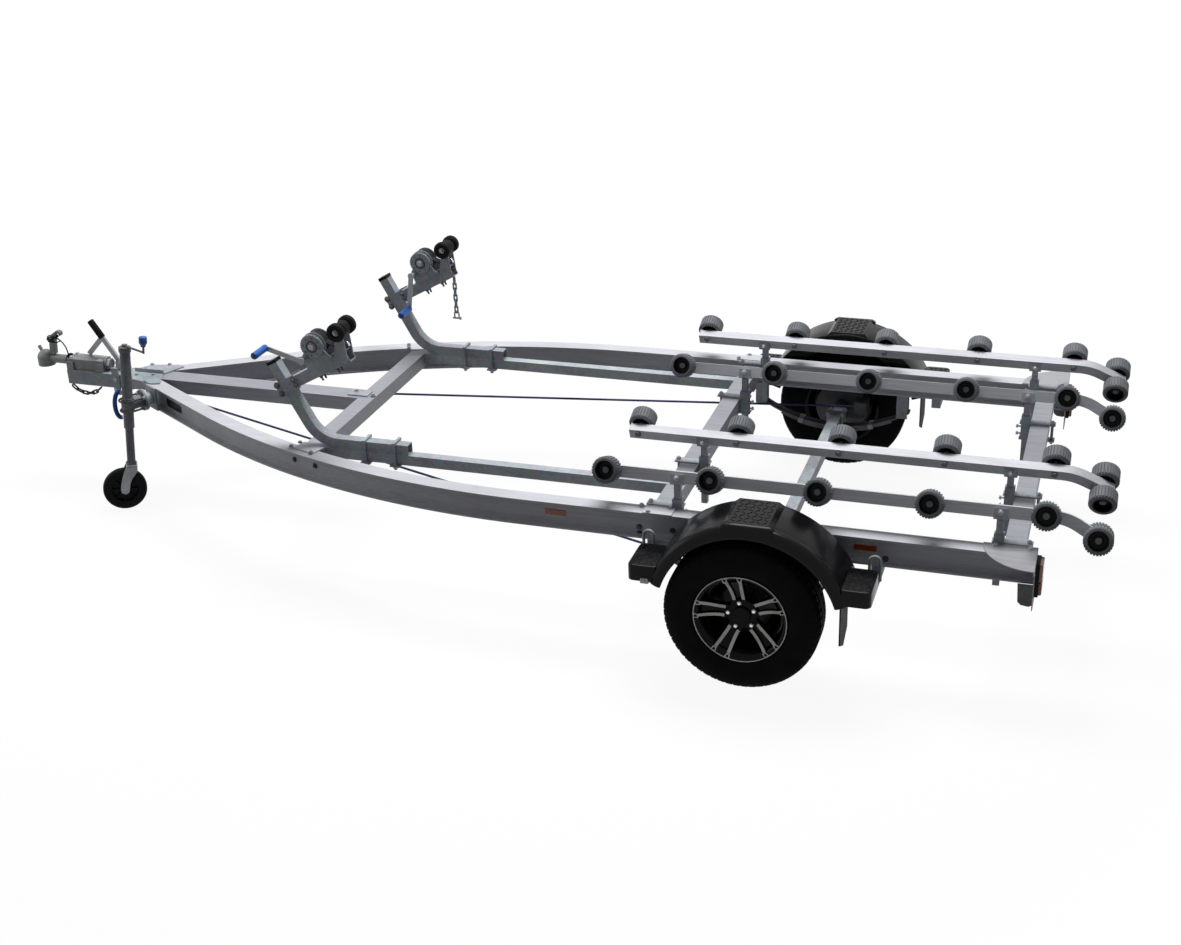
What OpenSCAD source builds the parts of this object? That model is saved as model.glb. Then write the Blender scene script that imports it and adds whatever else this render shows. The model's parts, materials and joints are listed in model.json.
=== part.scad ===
// Twin-cradle roller trailer with one axle, standing on its nose wheel.
// X points forward, Y to the left, Z up from the ground; sizes in millimetres.

/* [Frame rails] */
// Half width over the outer edges of the rail flanges
rail_half_w = 851; // [780:1:900]
// Height of the top of the rails above the ground
rail_top = 562; // [540:1:620]
// Height of the I-section
rail_h = 110; // [100:1:130]
// Width of the I-section's flanges
rail_flange_w = 70; // [60:1:80]
// Thickness of the flanges
rail_flange_t = 8; // [5:0.5:10]
// Thickness of the web
rail_web_t = 6; // [4:0.5:10]
// Rear end of the rails, behind the axle
rail_rear = 1020; // [1000:1:1060]
// Start of the bend, ahead of the axle
rail_bend_x = 930; // [860:1:1000]
// Radius of the bend at the web
rail_bend_r = 3265; // [3100:5:3400]
// Angle of the rails at the nose
rail_nose_a = 31; // [29:0.5:32]

/* [Drawbar and cross members] */
// Width of the drawbar box
drawbar_w = 100; // [90:1:110]
// Height of the drawbar box
drawbar_h = 65; // [55:1:80]
// How far the drawbar runs past the tips of the rails
drawbar_past = 12; // [5:1:30]
// Width of the cross members
cross_w = 75; // [60:1:85]
// Height of the cross members
cross_h = 65; // [50:1:80]
// Wall of the box sections
box_wall = 4; // [3:0.5:6]
// Centre of the front cross member
front_cross_x = 1980; // [1940:1:2020]
// Centre of the middle cross member
mid_cross_x = 383; // [360:1:410]
// Distance of the rear cross member behind the axle
rear_cross_back = 940; // [920:1:950]
// Thickness of the bolted plates
plate_t = 6; // [4:0.5:8]

/* [Stringers and winch posts] */
// Distance of each craft's centre line from the middle
cradle_y = 556; // [545:1:570]
// Width and height of the stringers and winch posts
post_w = 45; // [40:1:50]
// Wall of the square steel tube
tube_wall = 3; // [2:0.5:5]
// Rear end of the winch post on its stringer
post_rear_x = 1535; // [1500:1:1600]
// Start of the winch post's bend
post_bend_x = 1854; // [1830:1:1880]
// Radius of the winch post's bend
post_bend_r = 150; // [130:1:180]
// Lean of the winch post from the level
post_a = 62; // [58:0.5:66]
// Length of the post above its bend
post_rise = 290; // [280:1:310]
// Height of the plastic cap on the post
cap_h = 14; // [8:1:20]

/* [Winches and bow rollers] */
// Height of the winch arm along the post, above the bend
arm_up = 181; // [165:1:195]
// Width of the square winch arm
arm_w = 50; // [45:1:55]
// Reach of the winch arm from the post's middle
arm_len = 345; // [335:1:360]
// Thickness of the ear plates and winch cheeks
ear_t = 6; // [4:0.5:8]
// Bow roller axis behind the post, along the arm
bow_s = 372; // [360:1:380]
// Bow roller axis above the middle of the arm
bow_n = 110; // [100:1:120]
// Radius of the bow roller's barrels
bow_r = 39; // [34:1:42]
// Length of each outer barrel
bow_barrel = 34; // [28:1:40]
// Winch drum axis along the arm
drum_s = 235; // [225:1:245]
// Winch drum axis above the middle of the arm
drum_n = 103; // [98:1:108]
// Radius of the winch gear
gear_r = 52; // [46:1:56]
// Length of the winch handle
handle_len = 165; // [150:1:180]
// Length of the handle's grip
grip_len = 100; // [80:1:120]
// Radius of the handle's grip
grip_r = 14; // [12:0.5:17]

/* [Roller beams] */
// Distance of each beam from the craft's centre line
beam_off = 192; // [182:1:196]
// Height of the beams' middle
beam_z = 680; // [672:1:700]
// Roll of the beams towards the craft's keel
beam_roll = 21; // [12:1:24]
// Width of the beam box
beam_w = 40; // [36:1:44]
// Height of the beam box
beam_h = 45; // [40:1:50]
// Front end of the beams
beam_front = 632; // [625:1:660]
// First roller
roller_x = 594; // [580:1:600]
// Spacing of the rollers
roller_gap = 409; // [400:1:412]
// Radius of the rollers
roller_r = 53; // [50:1:58]
// Width of the rollers
roller_w = 66; // [60:1:74]
// Radius of the roller pins
roller_pin_r = 8; // [6:0.5:10]
// Bend of the beam's tail
tail_a = 29; // [24:1:32]
// Radius of the tail's bend
tail_r = 180; // [150:1:220]
// Straight tail behind its bend
tail_len = 112; // [100:1:125]
// Width of the square uprights
upright_w = 25; // [22:1:28]
// Lower end of the uprights above the ground
upright_low = 386; // [360:1:420]

/* [Axle and springs] */
// Radius of the tyre
tyre_r = 298; // [290:1:300]
// Width of the tyre
tyre_w = 164; // [150:1:170]
// Middle of each tyre from the centre line
track_half = 1028; // [1015:1:1031]
// Bead radius of the rim
rim_r = 165; // [160:1:168]
// Radius of the rim's lip
rim_lip_r = 180; // [176:1:186]
// Width of the square axle beam
axle_w = 50; // [45:1:55]
// Radius of the stub axle
stub_r = 17; // [14:0.5:20]
// Running clearance of the hubs and pins on their axles
run_gap = 0.05; // [0.02:0.01:0.1]
// Half length of the springs
spring_half = 335; // [320:1:345]
// Radius of the spring's camber
spring_r = 620; // [600:5:680]
// Thickness of one spring leaf
leaf_t = 8; // [6:0.5:9]
// Width of the spring leaves
leaf_w = 45; // [40:1:50]
// Radius of the brake disc
disc_r = 122; // [110:1:126]

/* [Mudguards] */
// Radius of the mudguard's top
guard_r = 392; // [385:1:410]
// Shift of the mudguard behind the axle
guard_back = 27; // [15:1:35]
// Thickness of the moulded plastic
guard_t = 5; // [4:0.5:7]
// Inner edge of the mudguard
guard_in = 885; // [875:1:895]
// Outer edge of the mudguard
guard_out = 1125; // [1122:1:1135]
// Depth of the rolled outer lip
guard_lip = 52; // [40:1:56]
// Top of the steps above the ground
step_top = 480; // [470:1:495]
// Length of the steps
step_len = 106; // [90:1:115]
// Depth of the steps
step_d = 64; // [56:1:70]
// Lower edge of the mud flaps
flap_low = 200; // [180:1:240]

/* [Coupling] */
// Middle of the tow ball ahead of the axle
head_x = 3690; // [3680:1:3710]
// Height of the coupling's shaft
shaft_z = 596; // [590:1:600]
// Radius of the ball socket
socket_r = 25.25; // [25.05:0.05:25.5]
// Wall round the ball socket
head_wall = 16; // [12:1:20]
// Front end of the steel base
base_front = 3548; // [3540:1:3556]
// Width of the steel base
base_w = 100; // [90:1:106]
// Height of the steel base
base_h = 68; // [60:1:75]
// Radius of the coupling's shaft
shaft_r = 22; // [19:1:24]
// Length of the brake lever
lever_len = 245; // [235:1:255]

/* [Nose wheel] */
// Place of the stand behind the rail's tip
stand_back = 170; // [160:1:180]
// Distance of the stand's tube from the web
stand_off = 158; // [150:1:164]
// Lean of the stand, its foot away from the rail
stand_lean = 6; // [0:0.5:7]
// Radius of the stand's outer tube
stand_r = 24; // [22:0.5:26]
// Radius of the stand's leg
leg_r = 19; // [17:0.5:20]
// Radius of the nose wheel
nose_r = 100; // [95:1:103]
// Width of the nose wheel
nose_w = 46; // [40:1:50]
// Trail of the nose wheel
nose_trail = 35; // [30:1:36]
// Turn of the nose wheel's fork from the rail's direction
fork_turn = 66; // [0:1:90]

/* [Hidden] */
$fn = 48;
eps = 0.01;
seat_gap = 0.3;
big = 5000;

// Rails: web centre line, tip of the nose and direction there
rail_y = rail_half_w - rail_flange_w / 2;
rail_in = rail_half_w - rail_flange_w;
rail_bottom = rail_top - rail_h;
bend_cy = rail_y - rail_bend_r;
bend_end = [rail_bend_x + rail_bend_r * sin(rail_nose_a), bend_cy + rail_bend_r * cos(rail_nose_a)];
nose_len = (bend_end[1] + rail_flange_w / 2 * cos(rail_nose_a) - drawbar_w / 2) / sin(rail_nose_a);
tip_x = bend_end[0] + nose_len * cos(rail_nose_a) + rail_flange_w / 2 * sin(rail_nose_a);
drawbar_front = tip_x + drawbar_past;
drawbar_rear = front_cross_x + cross_w / 2;
cross_z = rail_top - cross_h;
rear_cross_x = -rear_cross_back;

// Beams, rollers and their tails in the beam's own plane
roller_xs = [for (i = [0:4]) roller_x - i * roller_gap];
tail_start = roller_xs[4] - 25;
tail_pin = tail_len - 30;
tail_pin_x = tail_start - tail_r * sin(tail_a) - tail_pin * cos(tail_a);
tail_pin_drop = tail_r * (1 - cos(tail_a)) + tail_pin * sin(tail_a);
roller_side = beam_w / 2 + 8;
roller_mid = roller_side + roller_w / 2;
pin_up = 5;
pin_len = beam_w + roller_w + 16;
saddle_wall = 5;
saddle_len = 50;
saddle_in = beam_w / 2 + seat_gap;
saddle_drop = beam_h / 2 + seat_gap + plate_t;
upright_dy = saddle_drop * sin(beam_roll);
upright_dz = saddle_drop * cos(beam_roll);
upright_xs = [mid_cross_x - cross_w / 2 - 8 - upright_w / 2, rear_cross_x + cross_w / 2 + 8 + upright_w / 2];

// Winch posts and arms in the plane of each craft's centre line
post_z = rail_top + post_w / 2;
post_end = [post_bend_x + post_bend_r * sin(post_a), post_z + post_bend_r * (1 - cos(post_a))];
function post_point(t) = [post_end[0] + t * cos(post_a), post_end[1] + t * sin(post_a)];
function arm_point(s, n) = post_point(arm_up + n) + s * [-sin(post_a), cos(post_a)];
shaft_s = drum_s - 55;
shaft_n = drum_n - 30;
cheek_y = arm_w / 2 + 12;
handle_y = cheek_y + ear_t + 42;
bow_neck = arm_w / 2 + ear_t + 2;
bow_half = bow_neck + bow_barrel;

// Coupling and stand
head_r = socket_r + head_wall;
base_rear = drawbar_front;
base_top = rail_top;
housing_len = 195;
housing_h = 54;
housing_rear = base_front - housing_len;
lever_x = drawbar_front + 94;
lever_z = base_top + 28;
nose_dir = [cos(rail_nose_a), -sin(rail_nose_a)];
nose_out = [sin(rail_nose_a), cos(rail_nose_a)];
stand_s = nose_len - stand_back;
stand_foot = [bend_end[0] + stand_s * nose_dir[0] + rail_web_t / 2 * nose_out[0],
    bend_end[1] + stand_s * nose_dir[1] + rail_web_t / 2 * nose_out[1]];
swivel_z = rail_top - rail_h / 2;
stand_up = 255;
stand_down = 112;
leg_up = 150;
tread_half = nose_w / 2 - 12;
wheel_tilt = asin(cos(fork_turn) * sin(stand_lean));
wheel_z = nose_r * cos(wheel_tilt) + tread_half * sin(wheel_tilt);
trail_up = nose_trail * sin(fork_turn) * sin(stand_lean);
wheel_drop = (swivel_z + trail_up - wheel_z) / cos(stand_lean);
fork_drop = wheel_drop - nose_r - 20 - seat_gap;

// Axle, springs and mudguards
axle_z = tyre_r;
axle_half = track_half - 128;
hub_in = track_half - 95;
hub_out = track_half + 5;
spring_top = axle_z - axle_w / 2 - pow(axle_w, 2) / (8 * spring_r) - seat_gap;
spring_rise = spring_r - sqrt(spring_r * spring_r - spring_half * spring_half);
spring_span_a = asin(spring_half / spring_r);
hanger_x = spring_half + 12;
eye_r = 16;
guard_x = -guard_back;
step_low = step_top - step_d;
guard_a = asin((step_low - axle_z) / guard_r);
guard_end = sqrt(pow(guard_r, 2) - pow(step_top - axle_z, 2));
bracket_xs = [guard_x + guard_end + step_len - 22, guard_x - guard_end - step_len + 22];

// The whole is centred on the middle of its length
nose_end = head_x + head_r;
tail_end = tail_pin_x - roller_r;
axle_x = -(nose_end + tail_end) / 2;

module placed() translate([axle_x, 0, 0]) children();
module both_sides() { children(); mirror([0, 1, 0]) children(); }
module each_cradle() for (y = [cradle_y, -cradle_y]) translate([0, y, 0]) children();
module along_x(length) rotate([90, 0, 90]) linear_extrude(length) children();
module rod_y(r, length) rotate([90, 0, 0]) cylinder(r = r, h = length, center = true);
module rod_x(r, length) rotate([0, 90, 0]) cylinder(r = r, h = length);
module block(size, at) translate(at) cube(size, center = true);

// A hollow box section along X, its middle on the axis
module box_section(length, w, h, wall) along_x(length) difference() {
    square([w, h], center = true);
    square([w - 2 * wall, h - 2 * wall], center = true);
}

// The I-section of the rails, its web on the axis
module i_section() {
    for (z = [rail_bottom, rail_top - rail_flange_t])
        translate([-rail_flange_w / 2, z]) square([rail_flange_w, rail_flange_t]);
    translate([-rail_web_t / 2, rail_bottom]) square([rail_web_t, rail_h]);
}

// Frame
module rail() difference() {
    union() {
        translate([-rail_rear, rail_y, 0]) along_x(rail_rear + rail_bend_x) i_section();
        translate([rail_bend_x, bend_cy, 0]) rotate([0, 0, 90 - rail_nose_a])
            rotate_extrude(angle = rail_nose_a, $fn = 360) translate([rail_bend_r, 0]) i_section();
        translate([bend_end[0], bend_end[1], 0]) rotate([0, 0, -rail_nose_a]) along_x(nose_len) i_section();
    }
    translate([rail_bend_x, drawbar_w / 2 - big, 0]) cube([big, big, big]);
}
module left_rail() color("silver") placed() rail();
module right_rail() color("silver") placed() mirror([0, 1, 0]) rail();

module drawbar() color("silver") placed()
    translate([drawbar_rear, 0, rail_top - drawbar_h / 2])
        box_section(drawbar_front - drawbar_rear, drawbar_w, drawbar_h, box_wall);

module cross_box(x, half) translate([x, -half, cross_z + cross_h / 2]) rotate([0, 0, 90])
    box_section(2 * half, cross_w, cross_h, box_wall);
module cross_members() color("silver") placed() {
    cross_box(mid_cross_x, rail_in);
    cross_box(rear_cross_x, rail_in);
    intersection() {
        cross_box(front_cross_x, rail_in);
        for_rails();
    }
}
// The room between the inner flange edges where the rails bend
module for_rails() intersection() {
    translate([rail_bend_x, bend_cy, 0])
        cylinder(r = rail_bend_r - rail_flange_w / 2 - seat_gap, h = rail_top, $fn = 360);
    translate([rail_bend_x, -bend_cy, 0])
        cylinder(r = rail_bend_r - rail_flange_w / 2 - seat_gap, h = rail_top, $fn = 360);
}

module cleat_plate(x, y, turn) translate([x, y, rail_top]) rotate([0, 0, turn])
    translate([0, 0, plate_t / 2]) cube([cross_w + 40, 70, plate_t], center = true);
module cleats() color("gainsboro") placed() both_sides() {
    cleat_plate(mid_cross_x, rail_in + 40, 0);
    front_drop = rail_bend_r - sqrt(pow(rail_bend_r, 2) - pow(front_cross_x - rail_bend_x, 2));
    cleat_plate(front_cross_x, rail_in - front_drop, -asin((front_cross_x - rail_bend_x) / rail_bend_r));
}

module nose_plates() color("gainsboro") placed() translate([0, 0, rail_top]) {
    both_sides() linear_extrude(plate_t)
        polygon([[tip_x + 25, 1], [tip_x + 25, 46], [tip_x - 8, 92], [tip_x - 140, 122],
            [tip_x - 176, 108], [tip_x - 128, 1]]);
    translate([tip_x - 128, -1 - plate_t, 0]) cube([153, plate_t, 22]);
    translate([front_cross_x, -30, 0]) cube([cross_w / 2 + 60, 60, plate_t]);
}

module stringers() color("lightslategray") placed() each_cradle()
    translate([mid_cross_x + cross_w / 2, 0, rail_top - post_w / 2])
        box_section(front_cross_x - mid_cross_x - cross_w, post_w, post_w, tube_wall);

// Coupling
module coupling_base() color("slategray") placed() {
    translate([base_rear, 0, base_top - base_h / 2]) along_x(base_front - base_rear) difference() {
        square([base_w, base_h], center = true);
        translate([0, -plate_t]) square([base_w - 2 * plate_t, base_h], center = true);
    }
    both_sides() translate([base_rear + 70, base_w / 2, base_top - 100]) cube([34, 8, 135]);
}

module coupling_housing() color("silver") placed() {
    difference() {
        union() {
            translate([housing_rear, -38, base_top]) cube([housing_len, 76, housing_h]);
            for (x = [housing_rear + 18, base_front - 18]) translate([x - 18, -46, base_top])
                cube([36, 92, housing_h - 12]);
            translate([housing_rear - 12, 0, shaft_z]) rod_x(shaft_r + 6, 12);
        }
        translate([housing_rear - 20, 0, shaft_z]) rod_x(shaft_r + seat_gap, housing_len + 40);
    }
}

module coupling_head() color("silver") placed() difference() {
    union() {
        translate([head_x, 0, shaft_z - 34]) cylinder(r = head_r, h = 34);
        translate([head_x, 0, shaft_z]) sphere(r = head_r);
        translate([head_x + 16, 0, shaft_z + 30]) rotate([0, 25, 0]) cylinder(r = 8, h = 32);
        translate([housing_rear - 30, 0, shaft_z]) rod_x(shaft_r, head_x - housing_rear);
    }
    translate([head_x, 0, shaft_z - 40]) cylinder(r = socket_r, h = 40);
    translate([head_x, 0, shaft_z]) sphere(r = socket_r);
    translate([head_x, 0, shaft_z - 134]) cube([200, 200, 200], center = true);
}

latch_foot = [head_x - 50, 0, shaft_z + shaft_r + 2.5];
module coupling_latch() color("gainsboro") placed() translate(latch_foot) {
    rotate([0, -10, 0]) translate([-12, -14, 0]) cube([26, 28, 118]);
    translate([-70, -16, 108]) cube([64, 32, 12]);
}

// The breakaway cable rises from the housing and hooks over the latch
cable_route = [[-150, 30, 20], [-152, 32, 50], [-146, 35, 80], [-130, 36, 104], [-108, 34, 116],
    [-86, 28, 114], [-70, 20, 102], [-62, 15, 88]];
cable_r = 3;
cable_last = len(cable_route) - 1;
function knot(i) = cable_route[min(max(i, 0), cable_last)];
function between(i) = (9 * (knot(i) + knot(i + 1)) - knot(i - 1) - knot(i + 2)) / 16;
cable_line = [for (i = [0:2 * cable_last]) i % 2 == 0 ? knot(i / 2) : between((i - 1) / 2)];
function heading(i) = cable_line[min(i + 1, len(cable_line) - 1)] - cable_line[max(i - 1, 0)];
function cable_ring(i, sides) = let (d = heading(i) / norm(heading(i)), w = cross([0, 1, 0], d),
    a = cable_r * w / norm(w), b = cross(d, a))
    [for (k = [0:sides - 1]) cable_line[i] + cos(360 * k / sides) * a + sin(360 * k / sides) * b];
module breakaway_cable() color("dimgray") placed() translate([head_x, 0, shaft_z]) {
    sides = 8;
    rings = len(cable_line);
    polyhedron(points = [for (i = [0:rings - 1]) each cable_ring(i, sides)],
        faces = concat([[for (k = [0:sides - 1]) k]],
            [for (i = [0:rings - 2], k = [0:sides - 1]) [i * sides + k, (i + 1) * sides + k,
                (i + 1) * sides + (k + 1) % sides, i * sides + (k + 1) % sides]],
            [[for (k = [sides - 1:-1:0]) (rings - 1) * sides + k]]));
}

// One link of a chain, long along X
module link(length, wire) {
    bend = length / 4;
    for (s = [1, -1]) {
        scale([s, 1, 1]) translate([length / 2 - bend, 0, 0]) rotate([0, 0, -90])
            rotate_extrude(angle = 180, $fn = 24) translate([bend - wire, 0]) circle(r = wire, $fn = 16);
        translate([-length / 2 + bend, s * (bend - wire), 0]) rod_x(wire, length - 2 * bend);
    }
}

// The tow chain sags in even steps below the steel base
link_len = 44;
link_wire = 4;
link_pitch = link_len - 4 * link_wire + 0.4;
chain_links = 6;
function chain_a(i) = 40 - 80 * i / (chain_links - 1);
function chain_step(i) = (chain_a(i) + chain_a(i - 1)) / 2;
function chain_at(i) = i == 0 ? [base_front - 30, base_top - base_h - 18.5] :
    chain_at(i - 1) - link_pitch * [cos(chain_step(i)), sin(chain_step(i))];
module tow_chain() color("slategray") placed()
    for (i = [0:chain_links - 1]) translate([chain_at(i)[0], base_w / 2 - plate_t / 2, chain_at(i)[1]])
        rotate([0, -chain_a(i), 0]) rotate([90 + i % 2 * 90, 0, 0]) link(link_len, link_wire);

module brake_lever() color("slategray") placed() translate([lever_x, 0, 0]) mirror([0, 1, 0]) {
    for (y = [6, 23]) translate([-26, y, base_top]) cube([52, 7, lever_z - base_top + 14]);
    translate([0, 18, lever_z]) rotate([0, -57, 0]) {
        translate([-14, -6, -12]) cube([lever_len - 70, 12, 24]);
        translate([lever_len - 90, 0, 0]) rod_x(15, 90);
        translate([lever_len - 104, 5, -6]) rotate([0, 103, 0]) cube([125, 6, 24]);
    }
}

// Axle and springs
module axle_beam() color("gray") placed() translate([0, 0, axle_z]) {
    translate([0, -axle_half, 0]) rotate([0, 0, 90]) box_section(2 * axle_half, axle_w, axle_w, box_wall);
    both_sides() {
        block([axle_w, 12, axle_w], [0, axle_half - 6, 0]);
        translate([0, (axle_half + hub_out - 12) / 2, 0]) rod_y(stub_r, hub_out - 12 - axle_half);
    }
}

eye_a = spring_span_a + asin((eye_r + seat_gap) / spring_r);
eye_path_r = spring_r + leaf_t / 2;
spring_eye = [eye_path_r * sin(eye_a), spring_top + spring_r - eye_path_r * cos(eye_a)];
slide_x = spring_half - 30;
slide_z = spring_top + spring_r - sqrt(pow(spring_r, 2) - pow(slide_x, 2)) + 8;
eye_pin_r = 6;
module leaf_springs() color("dimgray") placed() both_sides() translate([0, rail_y, 0]) {
    translate([0, 0, spring_top + spring_r]) rotate([90, 0, 0]) for (i = [0:2]) {
        half_a = spring_span_a * (1 - 0.27 * i);
        rotate([0, 0, -90 - half_a]) rotate_extrude(angle = 2 * half_a, $fn = 240)
            translate([spring_r + i * (leaf_t + seat_gap), -leaf_w / 2]) square([leaf_t, leaf_w]);
    }
    translate([spring_eye[0], 0, spring_eye[1]]) difference() {
        rod_y(eye_r, leaf_w);
        rod_y(eye_pin_r + seat_gap, leaf_w + 10);
    }
}
module hanger(x, pin_z) translate([x, rail_y, 0]) {
    for (s = [1, -1]) translate([-25, s * (leaf_w / 2 + 5) - 2.5, pin_z - 20])
        cube([50, 5, rail_bottom - pin_z + 20]);
    block([50, leaf_w + 10, 5], [0, 0, rail_bottom - 2.5]);
    translate([0, 0, pin_z]) rod_y(eye_pin_r, leaf_w + 26);
}
module spring_hangers() color("slategray") placed() both_sides() {
    hanger(spring_eye[0], spring_eye[1]);
    hanger(-slide_x, slide_z);
}
module axle_clamps() color("slategray") placed() both_sides() translate([0, rail_y, 0]) {
    low = spring_top - 3 * leaf_t - 2 * seat_gap;
    block([axle_w + 34, leaf_w + 34, plate_t], [0, 0, low - plate_t / 2]);
    block([axle_w + 34, leaf_w + 34, plate_t], [0, 0, axle_z + axle_w / 2 + plate_t / 2]);
    for (x = [1, -1], y = [1, -1]) translate([x * (axle_w / 2 + 8), y * (leaf_w / 2 + 8), low - 18])
        cylinder(r = 6, h = axle_w + 3 * leaf_t + 34);
}

caliper_x = -100;
caliper_z = axle_z + 25;
module brake_calipers() color("dimgray") placed() both_sides() {
    difference() {
        translate([caliper_x - 28, axle_half - 30, caliper_z - 35])
            cube([56, track_half - axle_half - 8, 70]);
        translate([0, hub_in + 27, axle_z]) rod_y(disc_r + 5, 20);
    }
    translate([caliper_x, axle_half - 12, axle_z - 20]) cube([-caliper_x - axle_w / 2, 8, 40]);
}

// Taut brake cables from the block under the drawbar to the calipers
cable_front = tip_x - 170;
cable_from = [cable_front - 2, 40, rail_top - drawbar_h - 14];
cable_to = [caliper_x + 30, axle_half - 20, caliper_z + 18];
cable_run = cable_to - cable_from;
brake_len = norm(cable_run);
module brake_cables() color("midnightblue") placed() {
    translate([cable_front, -52, rail_top - drawbar_h - 26]) cube([30, 104, 26]);
    both_sides() translate(cable_from)
        rotate([0, acos(cable_run[2] / brake_len), atan2(cable_run[1], cable_run[0])])
            cylinder(r = 5, h = brake_len, $fn = 16);
}

// Mudguards
module step_shell(x) difference() {
    translate([x, guard_in + 45, step_low]) cube([step_len + 12, guard_out - guard_in - 55, step_d]);
    translate([x + guard_t, guard_in + 45 + guard_t, step_low - guard_t])
        cube([step_len + 12 - 2 * guard_t, guard_out - guard_in - 55 - 2 * guard_t, step_d]);
    translate([0, guard_in, axle_z]) rod_y(guard_r - guard_t + 1, big);
}
module mudguard() translate([guard_x, 0, 0]) {
    translate([0, 0, axle_z]) rotate([90, 0, 0]) rotate([0, 0, guard_a])
        rotate_extrude(angle = 180 - 2 * guard_a, $fn = 120) {
            translate([guard_r - guard_t, -guard_out]) square([guard_t, guard_out - guard_in]);
            translate([guard_r - guard_lip, -guard_out]) square([guard_lip, guard_t]);
        }
    translate([-78, guard_in + 15, axle_z + guard_r - 13]) cube([156, guard_out - guard_in - 30, 19]);
    step_shell(guard_end - 12);
    step_shell(-guard_end - step_len);
}
module left_mudguard() color("dimgray") placed() mudguard();
module right_mudguard() color("dimgray") placed() mirror([0, 1, 0]) mudguard();

loop_y = (rail_half_w + guard_in + 45) / 2 + 5;
loop_r = 20;
loop_rod = 6;
loop_leg = 78;
module tie_loop() {
    for (x = [loop_r, -loop_r]) translate([x, 0, 0]) cylinder(r = loop_rod, h = loop_leg);
    translate([0, 0, loop_leg]) rotate([90, 0, 0]) rotate_extrude(angle = 180)
        translate([loop_r, 0]) circle(r = loop_rod, $fn = 24);
}
module guard_brackets() color("slategray") placed() both_sides() for (x = bracket_xs) translate([x, 0, 0]) {
    translate([-20, rail_in, step_low - plate_t]) cube([40, guard_out - 40 - rail_in, plate_t]);
    translate([-20, rail_in, step_low - plate_t])
        cube([40, rail_flange_w, rail_bottom - step_low + plate_t]);
    translate([0, loop_y, step_low]) tie_loop();
}
module mud_flaps() color("dimgray") placed() both_sides() translate([guard_x, 0, 0]) intersection() {
    translate([2 - guard_end, 0, 0]) along_x(guard_t)
        polygon([[guard_in + 62, step_top], [guard_out - 25, step_top], [guard_out - 25, flap_low + 40],
            [(guard_in + guard_out + 37) / 2, flap_low], [guard_in + 62, flap_low + 40]]);
    translate([0, guard_in, axle_z]) rod_y(guard_r - guard_t - seat_gap, big);
}

// Winch posts
module winch_posts() color("lightslategray") placed() each_cradle() {
    translate([post_rear_x, 0, post_z]) box_section(post_bend_x - post_rear_x, post_w, post_w, tube_wall);
    translate([post_bend_x, 0, post_z + post_bend_r]) rotate([90, 0, 0]) rotate([0, 0, -90])
        rotate_extrude(angle = post_a) translate([post_bend_r, 0]) difference() {
            square(post_w, center = true);
            square(post_w - 2 * tube_wall, center = true);
        }
    translate([post_end[0], 0, post_end[1]]) rotate([0, -post_a, 0])
        box_section(post_rise, post_w, post_w, tube_wall);
}
module post_caps() color("dimgray") placed() each_cradle()
    translate([post_end[0], 0, post_end[1]]) rotate([0, -post_a, 0])
        block([cap_h, post_w + 2, post_w + 2], [post_rise + cap_h / 2, 0, 0]);
module post_clamp() {
    block([44, post_w + 36, plate_t], [0, 0, -post_w - plate_t / 2]);
    for (y = [1, -1]) translate([0, y * (post_w / 2 + 7), -post_w - 20])
        cylinder(r = 6, h = 2 * post_w + 28);
    block([13, post_w + 27, 10], [0, 0, post_w + 5]);
}
module post_clamps() color("silver") placed() each_cradle()
    for (x = [60, 195]) translate([post_rear_x + x, 0, rail_top]) post_clamp();

// The arm's own frame: X forward and down along the arm, Z along the post
module in_plane(point) translate([point[0], 0, point[1]]) children();
module arm_frame() in_plane(post_point(arm_up)) rotate([0, 90 - post_a, 0]) children();
module side_plate(y, t) translate([0, y + t, 0]) rotate([90, 0, 0]) linear_extrude(t) children();
module winch_arms() color("lightslategray") placed() each_cradle() arm_frame() {
    translate([-arm_len, 0, 0]) box_section(arm_len - post_w / 2, arm_w, arm_w, tube_wall);
    for (y = [arm_w / 2, -arm_w / 2 - ear_t]) {
        side_plate(y, ear_t) difference() {
            union() {
                polygon([[90 - arm_len, -arm_w / 2], [10 - arm_len, -arm_w / 2],
                    [-bow_s - 16, bow_n], [-bow_s + 17, bow_n]]);
                translate([-bow_s, bow_n]) circle(r = 18);
            }
            translate([-bow_s, bow_n]) circle(r = bow_axle_r + run_gap);
        }
        side_plate(y, ear_t) translate([-post_w / 2 - 45, -arm_w / 2 - 6])
            square([post_w + 62, arm_w + 12]);
    }
    for (z = [20, -20]) translate([post_w / 2 + 7, 0, z]) rod_y(7, arm_w + 2 * ear_t + 10);
}
bow_axle_r = 8;
winch_pin_r = 8;
module gear(r, teeth, t) rotate([90, 0, 0]) linear_extrude(t, center = true) {
    circle(r = r - 3);
    for (i = [0:teeth - 1]) rotate(360 * i / teeth) translate([r - 6, -2]) square([6, 4]);
}
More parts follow.
